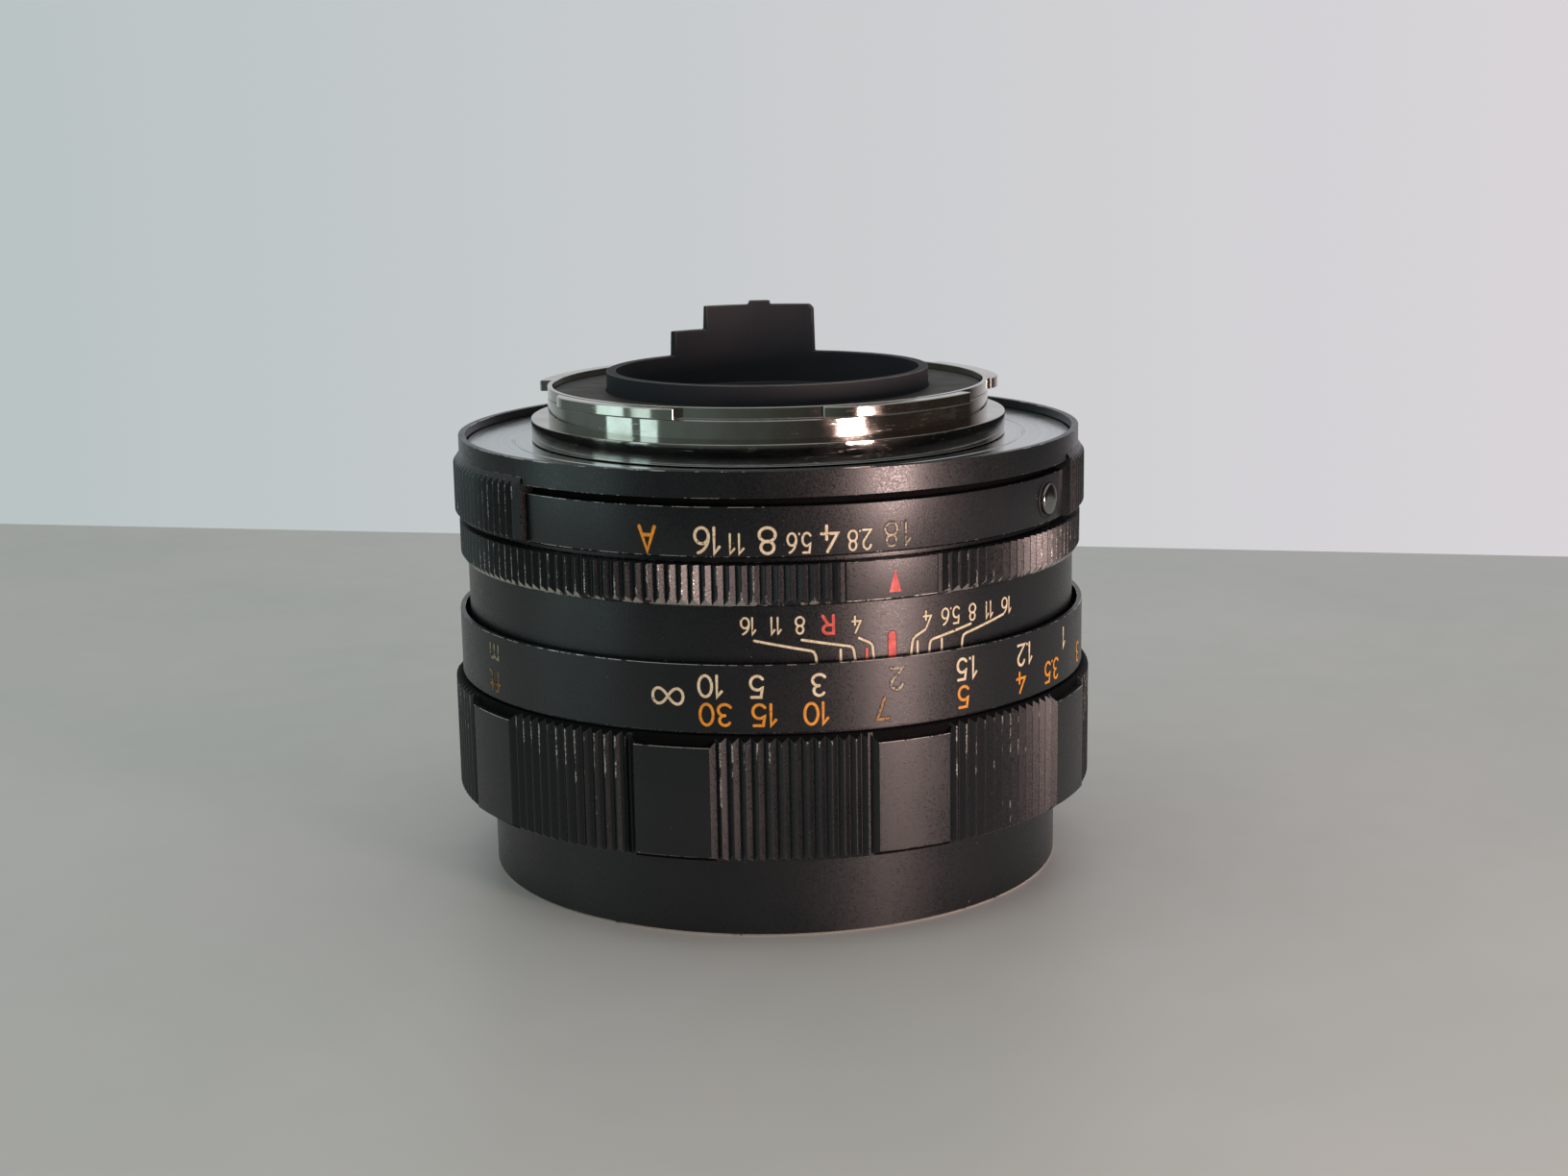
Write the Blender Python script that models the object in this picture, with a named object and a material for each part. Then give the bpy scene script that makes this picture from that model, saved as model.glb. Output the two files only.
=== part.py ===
"""A 50 mm f/1.8 bayonet lens for a reflex camera, standing on its front rim.

The optical axis is +Z, towards the camera. The origin is the centre of the front rim, and the
index line faces -Y. Sizes below are in millimetres and degrees, and become metres as each mesh is
made. An azimuth runs from -Y towards +X, which is a positive turn about +Z.
"""

import math

import bmesh
import bpy
from mathutils import Matrix, Vector

MM = 0.001
CUT_MARGIN = 1.0  # how far a cutter runs past what it cuts, in millimetres

# Clearances
SEAT_GAP = 0.1  # between pieces fixed to each other
RUN_GAP = 0.2  # between pieces that turn or slide on each other
FREE_GAP = 0.3  # where nothing is meant to touch
END_GAP = 0.4  # what is left free at the end of a travel

# Facets round a full turn
RIM_STEPS = 40
INNER_STEPS = 28
GLASS_STEPS = 20

# Focus travel along the axis from the rest setting of 2 m, and the screw that gives it
TRAVEL_TO_INFINITY = 1.404
TRAVEL_TO_CLOSEST = 4.64

# Radial stack of the barrel, from the sliding tube outwards
TUBE_R = 25.4
TUBE_WALL = 1.7
BARREL_WALL = 1.6
HELICOID_WALL = 1.5
DEPTH_SCALE_WALL = 1.0
SKIRT_CLEARANCE = 0.5
SKIRT_WALL = 0.5
GRIP_RISE = 0.7
PAD_RISE = 0.25
FILTER_STEP = 0.4
FILTER_RIM_WALL = 1.1

BARREL_BORE_R = TUBE_R + RUN_GAP
BARREL_R = BARREL_BORE_R + BARREL_WALL
HELICOID_BORE_R = BARREL_R + RUN_GAP
HELICOID_R = HELICOID_BORE_R + HELICOID_WALL
DEPTH_BORE_R = HELICOID_R + FREE_GAP
DEPTH_R = DEPTH_BORE_R + DEPTH_SCALE_WALL
SKIRT_R = DEPTH_R + SKIRT_CLEARANCE + SKIRT_WALL
GRIP_R = SKIRT_R + GRIP_RISE
PAD_R = GRIP_R + PAD_RISE
FILTER_R = HELICOID_R - FILTER_STEP
FILTER_BORE_R = FILTER_R - FILTER_RIM_WALL

# Aperture ring and its journal on the barrel
JOURNAL_RISE = 1.2
LABEL_RISE = 0.1
BAND_RISE = 0.5
APERTURE_GRIP_RISE = 1.1
LIP_WALL = 0.67
GROOVE_DEPTH = 0.7
JOURNAL_R = BARREL_R + JOURNAL_RISE
RING_BORE_R = JOURNAL_R + RUN_GAP
LABEL_R = DEPTH_R + LABEL_RISE
BAND_R = DEPTH_R + BAND_RISE
RING_GRIP_R = DEPTH_R + APERTURE_GRIP_RISE
LIP_BORE_R = BAND_R - LIP_WALL

# Heights of what shows on the outside, from the front rim up
FILTER_SHOWING = 8.15
GRIP_LENGTH = 11.1
PAD_INSET = 0.45
SKIRT_LENGTH = 6.95
DEPTH_SCALE_SHOWING = 5.1
FIXED_GRIP_LENGTH = 3.75
RING_SPLIT = 0.55
APERTURE_RING_LENGTH = 7.8
LIP_DROP = 0.85
PLATE_THICKNESS = 0.5
MOUNT_RISE = 2.15
BAYONET_RISE = 3.15

GRIP_BOTTOM_Z = FILTER_SHOWING
GRIP_TOP_Z = GRIP_BOTTOM_Z + GRIP_LENGTH
SKIRT_TOP_Z = GRIP_TOP_Z + SKIRT_LENGTH
DEPTH_TOP_Z = SKIRT_TOP_Z + DEPTH_SCALE_SHOWING
FIXED_GRIP_TOP_Z = DEPTH_TOP_Z + FIXED_GRIP_LENGTH
RING_BOTTOM_Z = FIXED_GRIP_TOP_Z + RING_SPLIT
RING_TOP_Z = RING_BOTTOM_Z + APERTURE_RING_LENGTH
PLATE_TOP_Z = RING_TOP_Z - LIP_DROP
PLATE_BOTTOM_Z = PLATE_TOP_Z - PLATE_THICKNESS
SEAT_Z = PLATE_TOP_Z + MOUNT_RISE
BAYONET_TOP_Z = SEAT_Z + BAYONET_RISE

# Bayonet, guard and lever
BAYONET_R = 21.8
BAYONET_WALL = 0.5
BAYONET_BORE_R = BAYONET_R - BAYONET_WALL
SEAT_R = BAYONET_R + 1.7
LUG_R = BAYONET_R + 1.25
LUG_THICKNESS = 1.1
SCREW_SHANK_R = 0.45
SCREW_HEAD_R = 0.75
SCREW_EDGE = 0.2
SCREW_CIRCLE_R = BAYONET_BORE_R - SCREW_EDGE - SCREW_HEAD_R
SCREW_AZIMUTHS = (30.0, 150.0, 270.0)
LUG_STARTS = (-86.0, -8.0, 64.0, 199.0)
LUG_SPAN = 43.0
GUARD_R = SCREW_CIRCLE_R - 4.4
GUARD_WALL = 0.9
BAFFLE_DROP = 0.65
BAFFLE_THICKNESS = 0.6
GUARD_RING_RISE = 1.25
GUARD_WALL_RISE = 4.9
GUARD_WALL_START = 140.4
GUARD_WALL_SPAN = 43.0
GUARD_STEP_SPAN = 14.4
GUARD_STEP_RISE = 2.5
GUARD_NOSE_SPAN = 8.0
GUARD_NOSE_RISE = 0.4
LEVER_AZIMUTH = 190.0
LEVER_SPAN = 5.0
LEVER_TURN = 18.0
LEVER_RISE = 2.6

# Controls on the rings
PAD_COUNT = 9
PAD_SPAN = 12.6
PAD_CENTRE = 2.2
PANEL_SPAN = 17.1
PANEL_CENTRE = -0.25
PANEL_DEPTH = 0.3
PANEL_MARGIN = 0.3
LABEL_START = -68.5
LABEL_SPAN = 114.9
LABEL_LENGTH = 4.55
GROOVE_LENGTH = 0.95
APERTURE_TURN = 43.0
BUTTON_AZIMUTH = 38.2
BUTTON_R = 1.5
BUTTON_PROUD = 0.5
BUTTON_TRAVEL = 0.4
DRIVE_AZIMUTH = 110.0
DRIVE_PIN_R = 0.7

# Glass: front surface height on the axis, centre thickness, front and rear radii, rim radius, and
# how far out a hollow surface reaches. A positive radius is centred towards the camera.
FRONT_VERTEX_Z = FILTER_SHOWING + 1.85
GLASS_GAP = 0.1
GLASS_FIT = 0.15
CELL_WALL = 1.65
REAR_CELL_R = GUARD_R - GUARD_WALL - FREE_GAP
REAR_CELL_WALL = 2.2
REAR_GLASS_R = REAR_CELL_R - REAR_CELL_WALL - GLASS_FIT
LENSES = (
    # offset, thickness, front radius, rear radius, rim, hollow front reach, hollow rear reach
    (0.0, 4.2, 37.0, 150.0, 15.6, None, None),
    (4.45, 4.4, 22.5, 55.0, 13.4, None, None),
    (10.25, 1.6, 80.0, 14.6, 12.0, None, 10.2),
    (23.3, 1.5, -15.8, 85.0, REAR_GLASS_R - 1.5, REAR_GLASS_R - 2.8, None),
    (24.9, 6.8, 85.0, -22.5, REAR_GLASS_R - 0.8, None, None),
    (32.0, 3.8, 120.0, -48.0, REAR_GLASS_R, None, None),
)

# Iris
BLADE_COUNT = 6
BLADE_THICKNESS = 0.12
BLADE_PITCH = 0.25
BLADE_BORE_R = 11.9
BLADE_SPAN = 100.0
IRIS_MARGIN = 3.5
IRIS_WALL = 0.9
IRIS_PLATE = 0.5
IRIS_OPEN_R = BLADE_BORE_R - RUN_GAP
IRIS_R = TUBE_R - TUBE_WALL - IRIS_MARGIN
IRIS_BORE_R = IRIS_R - IRIS_WALL
BLADE_OUTER_R = IRIS_BORE_R - 0.7
BLADE_PIVOT_R = BLADE_OUTER_R - 1.8


# ---- makers --------------------------------------------------------------------------------


def finish_material(name, colour, roughness, metallic, clear=False):
    material = bpy.data.materials.new(name)
    material.use_nodes = True
    shader = material.node_tree.nodes["Principled BSDF"]
    shader.inputs["Base Color"].default_value = (*colour, 1.0)
    shader.inputs["Roughness"].default_value = roughness
    shader.inputs["Metallic"].default_value = metallic
    if clear:
        shader.inputs["Transmission Weight"].default_value = 1.0
        shader.inputs["IOR"].default_value = 1.62
    return material


def at(azimuth, radius, height):
    """The point at an azimuth in degrees, and a radius and height in millimetres."""
    turn = math.radians(azimuth)
    return Vector((radius * math.sin(turn), -radius * math.cos(turn), height)) * MM


def add_object(name, mesh, material, pivot=(0.0, 0.0, 0.0)):
    """Link a mesh made in world space, with the object's origin moved to its pivot."""
    mesh.transform(Matrix.Translation(-Vector(pivot)))
    mesh.materials.append(material)
    mesh.shade_smooth()
    mesh.set_sharp_from_angle(angle=math.radians(30))
    thing = bpy.data.objects.new(name, mesh)
    thing.location = pivot
    bpy.context.scene.collection.objects.link(thing)
    return thing


def closed_mesh(name, bm):
    bmesh.ops.remove_doubles(bm, verts=bm.verts, dist=1e-6)
    bmesh.ops.recalc_face_normals(bm, faces=bm.faces)
    mesh = bpy.data.meshes.new(name)
    bm.to_mesh(mesh)
    bm.free()
    return mesh


def section_edges(bm, section, azimuth):
    corners = [bm.verts.new(at(azimuth, radius, height)) for radius, height in section]
    return [bm.edges.new((a, b)) for a, b in zip(corners, corners[1:] + corners[:1])]


def ring_mesh(name, section, steps=RIM_STEPS):
    """A closed section of (radius, height) corners turned fully round the axis."""
    bm = bmesh.new()
    edges = section_edges(bm, section, 0.0)
    bmesh.ops.spin(bm, geom=edges, axis=(0, 0, 1), cent=(0, 0, 0), angle=math.tau,
                   steps=steps, use_merge=True)
    return closed_mesh(name, bm)


def add_sector(bm, section, start, span, step=5.0):
    """A closed section turned from one azimuth over a span of less than a full turn."""
    edges = section_edges(bm, section, start)
    corners = [edge.verts[0] for edge in edges]
    face = bm.faces.new(corners)
    steps = max(2, math.ceil(span / step))
    bmesh.ops.spin(bm, geom=[face, *edges, *corners], axis=(0, 0, 1), cent=(0, 0, 0),
                   angle=math.radians(span), steps=steps)


def sector_mesh(name, section, start, span, step=5.0):
    bm = bmesh.new()
    add_sector(bm, section, start, span, step)
    return closed_mesh(name, bm)


def block_section(inner_r, outer_r, bottom, top):
    return [(outer_r, bottom), (outer_r, top), (inner_r, top), (inner_r, bottom)]


def rod_mesh(name, radius, start, end, steps=16):
    """A round rod between two points in metres."""
    bm = bmesh.new()
    line = Vector(end) - Vector(start)
    turn = line.to_track_quat("Z", "Y").to_matrix().to_4x4()
    place = Matrix.Translation((Vector(start) + Vector(end)) / 2) @ turn
    bmesh.ops.create_cone(bm, cap_ends=True, segments=steps, radius1=radius * MM,
                          radius2=radius * MM, depth=line.length, matrix=place)
    return closed_mesh(name, bm)


def apply_boolean(target, tool, operation):
    tool.hide_render = True
    tool.display_type = "WIRE"
    change = target.modifiers.new(tool.name, "BOOLEAN")
    change.operation = operation
    change.object = tool
    change.solver = "EXACT"


def cut(target, name, mesh):
    apply_boolean(target, add_object(name, mesh, cutter_mat), "DIFFERENCE")


def join(target, name, mesh):
    apply_boolean(target, add_object(name, mesh, cutter_mat), "UNION")


for old in list(bpy.data.objects):
    bpy.data.objects.remove(old, do_unlink=True)

black_mat = finish_material("black_anodised", (0.012, 0.013, 0.015), 0.38, 0.6)
matt_black_mat = finish_material("matt_black", (0.008, 0.008, 0.008), 0.8, 0.0)
chrome_mat = finish_material("chrome", (0.62, 0.62, 0.60), 0.12, 1.0)
plate_mat = finish_material("satin_aluminium", (0.45, 0.47, 0.50), 0.4, 1.0)
bare_mat = finish_material("turned_aluminium", (0.55, 0.55, 0.56), 0.35, 1.0)
brass_mat = finish_material("brass", (0.60, 0.42, 0.16), 0.35, 1.0)
steel_mat = finish_material("steel", (0.45, 0.45, 0.46), 0.3, 1.0)
blade_mat = finish_material("blued_steel", (0.03, 0.035, 0.045), 0.35, 0.8)
glass_mat = finish_material("coated_glass", (0.85, 0.88, 0.92), 0.02, 0.0, clear=True)
cutter_mat = finish_material("cutter", (1.0, 0.2, 0.1), 0.5, 0.0)


# ---- main barrel ---------------------------------------------------------------------------

DEPTH_WEB = 1.9
WEB_THICKNESS = 1.2
WEB_BORE_R = SCREW_CIRCLE_R - SCREW_HEAD_R - SCREW_EDGE
DEPTH_BOTTOM_Z = SKIRT_TOP_Z - TRAVEL_TO_CLOSEST - 3.16
BARREL_BOTTOM_Z = DEPTH_BOTTOM_Z - 1.9
DEPTH_SEAT_Z = DEPTH_TOP_Z + DEPTH_WEB
WEB_TOP_Z = PLATE_BOTTOM_Z - SEAT_GAP
WEB_BOTTOM_Z = WEB_TOP_Z - WEB_THICKNESS
CAM_BORE_R = JOURNAL_R - 1.4
CAM_ROOM_Z = FIXED_GRIP_TOP_Z

main_barrel = add_object("main_barrel", ring_mesh("main_barrel", [
    (BARREL_R, BARREL_BOTTOM_Z), (BARREL_R, DEPTH_SEAT_Z), (JOURNAL_R, DEPTH_SEAT_Z),
    (JOURNAL_R, WEB_TOP_Z), (WEB_BORE_R, WEB_TOP_Z), (WEB_BORE_R, WEB_BOTTOM_Z),
    (CAM_BORE_R, WEB_BOTTOM_Z), (CAM_BORE_R, CAM_ROOM_Z), (BARREL_BORE_R, CAM_ROOM_Z),
    (BARREL_BORE_R, BARREL_BOTTOM_Z)]), bare_mat)

# ---- depth scale barrel and fixed grip ring ------------------------------------------------

GRIP_SEAT_R = DEPTH_R - 0.8
DEPTH_COLLAR_R = JOURNAL_R + SEAT_GAP

depth_scale_barrel = add_object("depth_scale_barrel", ring_mesh("depth_scale_barrel", [
    (DEPTH_R, DEPTH_BOTTOM_Z), (DEPTH_R, DEPTH_TOP_Z), (GRIP_SEAT_R, DEPTH_TOP_Z),
    (GRIP_SEAT_R, FIXED_GRIP_TOP_Z - SEAT_GAP), (DEPTH_COLLAR_R, FIXED_GRIP_TOP_Z - SEAT_GAP),
    (DEPTH_COLLAR_R, DEPTH_SEAT_Z - SEAT_GAP), (BARREL_R + SEAT_GAP, DEPTH_SEAT_Z - SEAT_GAP),
    (BARREL_R + SEAT_GAP, DEPTH_TOP_Z - SEAT_GAP), (DEPTH_BORE_R, DEPTH_TOP_Z - SEAT_GAP),
    (DEPTH_BORE_R, DEPTH_BOTTOM_Z)]), black_mat)

FIXED_GRIP_R = DEPTH_R + GRIP_RISE
FIXED_GRIP_BOTTOM_Z = DEPTH_TOP_Z + SEAT_GAP
FIXED_GRIP_BEVEL = 0.5
PANEL_R = FIXED_GRIP_R - PANEL_DEPTH

fixed_grip_ring = add_object("fixed_grip_ring", ring_mesh("fixed_grip_ring", [
    (FIXED_GRIP_R - FIXED_GRIP_BEVEL, FIXED_GRIP_BOTTOM_Z),
    (FIXED_GRIP_R, FIXED_GRIP_BOTTOM_Z + FIXED_GRIP_BEVEL), (FIXED_GRIP_R, FIXED_GRIP_TOP_Z),
    (GRIP_SEAT_R + SEAT_GAP, FIXED_GRIP_TOP_Z), (GRIP_SEAT_R + SEAT_GAP, FIXED_GRIP_BOTTOM_Z)]),
    black_mat)
cut(fixed_grip_ring, "index_panel_cutter", sector_mesh("index_panel_cutter", block_section(
    PANEL_R, FIXED_GRIP_R + CUT_MARGIN, FIXED_GRIP_BOTTOM_Z + PANEL_MARGIN,
    FIXED_GRIP_TOP_Z - PANEL_MARGIN), PANEL_CENTRE - PANEL_SPAN / 2, PANEL_SPAN))

# ---- focus ring and its helicoid -----------------------------------------------------------

HELICOID_BOTTOM_Z = GRIP_BOTTOM_Z + 0.85
CAPTURE_THICKNESS = 1.2
CAPTURE_TOP_Z = HELICOID_BOTTOM_Z + CAPTURE_THICKNESS
HELICOID_TOP_Z = DEPTH_TOP_Z - SEAT_GAP - TRAVEL_TO_INFINITY - END_GAP
FOCUS_WEB_TOP_Z = DEPTH_BOTTOM_Z - TRAVEL_TO_INFINITY - END_GAP
LIP_BORE = SKIRT_R - SKIRT_WALL
SHOULDER_Z = GRIP_TOP_Z + 0.45

focus_helicoid = add_object("focus_helicoid", ring_mesh("focus_helicoid", [
    (HELICOID_R, HELICOID_BOTTOM_Z), (HELICOID_R, HELICOID_TOP_Z),
    (HELICOID_BORE_R, HELICOID_TOP_Z), (HELICOID_BORE_R, CAPTURE_TOP_Z),
    (TUBE_R + FREE_GAP, CAPTURE_TOP_Z), (TUBE_R + FREE_GAP, HELICOID_BOTTOM_Z)]), brass_mat)

focus_ring = add_object("focus_ring", ring_mesh("focus_ring", [
    (GRIP_R, GRIP_BOTTOM_Z), (GRIP_R, GRIP_TOP_Z), (SKIRT_R, SHOULDER_Z), (SKIRT_R, SKIRT_TOP_Z),
    (LIP_BORE, SKIRT_TOP_Z), (LIP_BORE, FOCUS_WEB_TOP_Z),
    (HELICOID_R + SEAT_GAP, FOCUS_WEB_TOP_Z), (HELICOID_R + SEAT_GAP, HELICOID_BOTTOM_Z - SEAT_GAP),
    (FILTER_R + RUN_GAP, HELICOID_BOTTOM_Z - SEAT_GAP), (FILTER_R + RUN_GAP, GRIP_BOTTOM_Z)]),
    black_mat)
pads = bmesh.new()
for index in range(PAD_COUNT):
    centre = PAD_CENTRE + index * 360.0 / PAD_COUNT
    add_sector(pads, block_section(GRIP_R - 0.6, PAD_R, GRIP_BOTTOM_Z + PAD_INSET,
                                   GRIP_TOP_Z - PAD_INSET), centre - PAD_SPAN / 2, PAD_SPAN)
join(focus_ring, "grip_pads", closed_mesh("grip_pads", pads))

# ---- optical unit: filter ring, sliding tube, name ring ------------------------------------

FILTER_TOP_Z = HELICOID_BOTTOM_Z - FREE_GAP
FILTER_SEAT_R = TUBE_R - 1.2
FILTER_FLANGE = 1.8
FILTER_CONE_Z = FILTER_TOP_Z - 3.1
RIM_CHAMFER = 0.2
TUBE_BORE_R = TUBE_R - TUBE_WALL
TUBE_BOTTOM_Z = FILTER_TOP_Z + SEAT_GAP
TUBE_FLANGE_Z = CAPTURE_TOP_Z + RUN_GAP
TUBE_FLANGE = 1.1
TUBE_TOP_Z = WEB_BOTTOM_Z - 1.5 - TRAVEL_TO_INFINITY
CELL_FLANGE_Z = FRONT_VERTEX_Z + 2.6
CELL_FLANGE = 1.4
TUBE_LEDGE_Z = CELL_FLANGE_Z + CELL_FLANGE + SEAT_GAP
TUBE_LEDGE = 1.2
LEDGE_R = TUBE_BORE_R - 0.8
NAME_RING_R = TUBE_BORE_R - 0.15
NAME_RING_Z = FILTER_TOP_Z + 0.6
NAME_RING_THICKNESS = 1.1

filter_ring = add_object("filter_ring", ring_mesh("filter_ring", [
    (FILTER_R - RIM_CHAMFER, 0.0), (FILTER_R, RIM_CHAMFER), (FILTER_R, FILTER_TOP_Z),
    (FILTER_SEAT_R, FILTER_TOP_Z), (FILTER_SEAT_R, FILTER_TOP_Z - FILTER_FLANGE),
    (FILTER_BORE_R, FILTER_CONE_Z), (FILTER_BORE_R, 0.0)]), black_mat)

optical_tube = add_object("optical_tube", ring_mesh("optical_tube", [
    (TUBE_R, TUBE_BOTTOM_Z), (TUBE_R, TUBE_FLANGE_Z), (BARREL_R, TUBE_FLANGE_Z),
    (BARREL_R, TUBE_FLANGE_Z + TUBE_FLANGE), (TUBE_R, TUBE_FLANGE_Z + TUBE_FLANGE),
    (TUBE_R, TUBE_TOP_Z), (TUBE_BORE_R, TUBE_TOP_Z), (TUBE_BORE_R, TUBE_LEDGE_Z + TUBE_LEDGE),
    (LEDGE_R, TUBE_LEDGE_Z + TUBE_LEDGE), (LEDGE_R, TUBE_LEDGE_Z), (TUBE_BORE_R, TUBE_LEDGE_Z),
    (TUBE_BORE_R, TUBE_BOTTOM_Z)], INNER_STEPS), bare_mat)

name_ring = add_object("name_ring", ring_mesh("name_ring", [
    (NAME_RING_R, NAME_RING_Z), (NAME_RING_R, NAME_RING_Z + NAME_RING_THICKNESS),
    (LENSES[0][4] + 1.0, NAME_RING_Z + NAME_RING_THICKNESS),
    (LENSES[0][4] + 0.6, NAME_RING_Z + NAME_RING_THICKNESS - 0.5)], INNER_STEPS), matt_black_mat)

# Straight guides: a key on each side of the barrel slides in a slot of the tube
KEY_AZIMUTHS = (20.0, 200.0)
KEY_WIDTH_DEG = 6.0
KEY_LENGTH = 4.0
KEY_BOTTOM_Z = TUBE_TOP_Z - TRAVEL_TO_CLOSEST - KEY_LENGTH - 3.0
KEY_DEPTH = 1.5
for index, azimuth in enumerate(KEY_AZIMUTHS, start=1):
    add_object(f"guide_key_{index}", sector_mesh(f"guide_key_{index}", block_section(
        TUBE_R - KEY_DEPTH, BARREL_BORE_R - SEAT_GAP, KEY_BOTTOM_Z, KEY_BOTTOM_Z + KEY_LENGTH),
        azimuth - KEY_WIDTH_DEG / 2, KEY_WIDTH_DEG, 2.0), steel_mat)
    slot_span = KEY_WIDTH_DEG + 1.0
    cut(optical_tube, f"key_slot_{index}", sector_mesh(f"key_slot_{index}", block_section(
        TUBE_BORE_R - CUT_MARGIN, TUBE_R + CUT_MARGIN, KEY_BOTTOM_Z - TRAVEL_TO_INFINITY - END_GAP,
        TUBE_TOP_Z + CUT_MARGIN), azimuth - slot_span / 2, slot_span, 2.0))

# ---- glass and its cells -------------------------------------------------------------------


def sag(radius_of_curve, radius):
    """Depth of a spherical surface at a distance from the axis, positive towards the camera."""
    depth = abs(radius_of_curve) - math.sqrt(radius_of_curve ** 2 - radius ** 2)
    return math.copysign(depth, radius_of_curve)


def surface(height, curve, rim, reach, rings=3):
    """Section points of one lens surface from the axis out to its rim."""
    limit = reach or rim
    points = [(limit * i / rings, height + sag(curve, limit * i / rings)) for i in range(rings + 1)]
    if reach:
        points.append((rim, points[-1][1]))
    return points


def lens_faces(offset, thickness, front_curve, rear_curve, rim, front_reach, rear_reach):
    front = surface(FRONT_VERTEX_Z + offset, front_curve, rim, front_reach)
    rear = surface(FRONT_VERTEX_Z + offset + thickness, rear_curve, rim, rear_reach)
    return front, rear


FACES = [lens_faces(*lens) for lens in LENSES]
for index, (front, rear) in enumerate(FACES, start=1):
    bm = bmesh.new()
    outline = [bm.verts.new(at(0.0, radius, height)) for radius, height in front + rear[::-1]]
    edges = [bm.edges.new(pair) for pair in zip(outline, outline[1:])]
    bmesh.ops.spin(bm, geom=edges, axis=(0, 0, 1), cent=(0, 0, 0), angle=math.tau,
                   steps=GLASS_STEPS, use_merge=True)
    add_object(f"lens_{index}", closed_mesh(f"lens_{index}", bm), glass_mat)

RIMS = [lens[4] for lens in LENSES]
FRONT_EDGE_Z = [front[-1][1] for front, _ in FACES]
REAR_EDGE_Z = [rear[-1][1] for _, rear in FACES]

CELL_FRONT_Z = NAME_RING_Z + NAME_RING_THICKNESS + SEAT_GAP
CELL_R = RIMS[0] + CELL_WALL + GLASS_FIT
SEAT_1_R = RIMS[0] - 1.3
SEAT_1_Z = REAR_EDGE_Z[0] + 0.15
BORE_2_Z = FRONT_EDGE_Z[1] - GLASS_GAP
SEAT_2_Z = REAR_EDGE_Z[1] + GLASS_GAP
LIP_3_R = RIMS[2] - 0.5
LIP_3_Z = SEAT_2_Z + 0.35
CELL_REAR_Z = REAR_EDGE_Z[2] + 0.1

add_object("front_cell", ring_mesh("front_cell", [
    (CELL_R, CELL_FRONT_Z), (CELL_R, CELL_FLANGE_Z), (TUBE_BORE_R - SEAT_GAP, CELL_FLANGE_Z),
    (TUBE_BORE_R - SEAT_GAP, CELL_FLANGE_Z + CELL_FLANGE), (CELL_R, CELL_FLANGE_Z + CELL_FLANGE),
    (CELL_R, CELL_REAR_Z), (RIMS[2] + GLASS_FIT, CELL_REAR_Z), (RIMS[2] + GLASS_FIT, LIP_3_Z),
    (LIP_3_R, LIP_3_Z), (LIP_3_R, SEAT_2_Z), (RIMS[1] + GLASS_FIT, SEAT_2_Z),
    (RIMS[1] + GLASS_FIT, BORE_2_Z), (SEAT_1_R, BORE_2_Z), (SEAT_1_R, SEAT_1_Z),
    (RIMS[0] + GLASS_FIT, SEAT_1_Z), (RIMS[0] + GLASS_FIT, CELL_FRONT_Z)], INNER_STEPS), matt_black_mat)

RETAINER_BORE_R = RIMS[0] - 0.8
RETAINER_TOP_Z = FRONT_VERTEX_Z + sag(LENSES[0][2], RETAINER_BORE_R) - FREE_GAP
add_object("front_retainer", ring_mesh("front_retainer", [
    (RIMS[0], RETAINER_TOP_Z - 1.0), (RIMS[0], RETAINER_TOP_Z), (RETAINER_BORE_R, RETAINER_TOP_Z),
    (RETAINER_BORE_R, RETAINER_TOP_Z - 0.5)], INNER_STEPS), matt_black_mat)

IRIS_FRONT_Z = CELL_REAR_Z + SEAT_GAP
BLADE_FLOOR_Z = IRIS_FRONT_Z + IRIS_PLATE + RUN_GAP
DRIVE_Z = BLADE_FLOOR_Z + BLADE_COUNT * BLADE_PITCH + RUN_GAP
DRIVE_THICKNESS = 0.5
COVER_Z = DRIVE_Z + DRIVE_THICKNESS + RUN_GAP
COVER_THICKNESS = 0.25
IRIS_REAR_Z = COVER_Z + COVER_THICKNESS

REAR_CELL_Z = IRIS_REAR_Z + SEAT_GAP
REAR_FLANGE = 1.2
CELL_END_Z = REAR_EDGE_Z[5] + 1.85
BORE_4_Z = FRONT_EDGE_Z[3] - GLASS_GAP
BORE_5_Z = FRONT_EDGE_Z[4] - 0.2
BORE_6_Z = FRONT_EDGE_Z[5] - GLASS_GAP

add_object("rear_cell", ring_mesh("rear_cell", [
    (IRIS_R, REAR_CELL_Z), (IRIS_R, REAR_CELL_Z + REAR_FLANGE),
    (REAR_CELL_R, REAR_CELL_Z + REAR_FLANGE), (REAR_CELL_R, CELL_END_Z),
    (RIMS[5] + GLASS_FIT, CELL_END_Z), (RIMS[5] + GLASS_FIT, BORE_6_Z), (RIMS[4] + GLASS_FIT, BORE_6_Z),
    (RIMS[4] + GLASS_FIT, BORE_5_Z), (RIMS[3] + GLASS_FIT, BORE_5_Z), (RIMS[3] + GLASS_FIT, BORE_4_Z),
    (LENSES[3][5] + 0.3, BORE_4_Z), (LENSES[3][5] + 0.3, REAR_CELL_Z)], INNER_STEPS),
    matt_black_mat)

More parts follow.
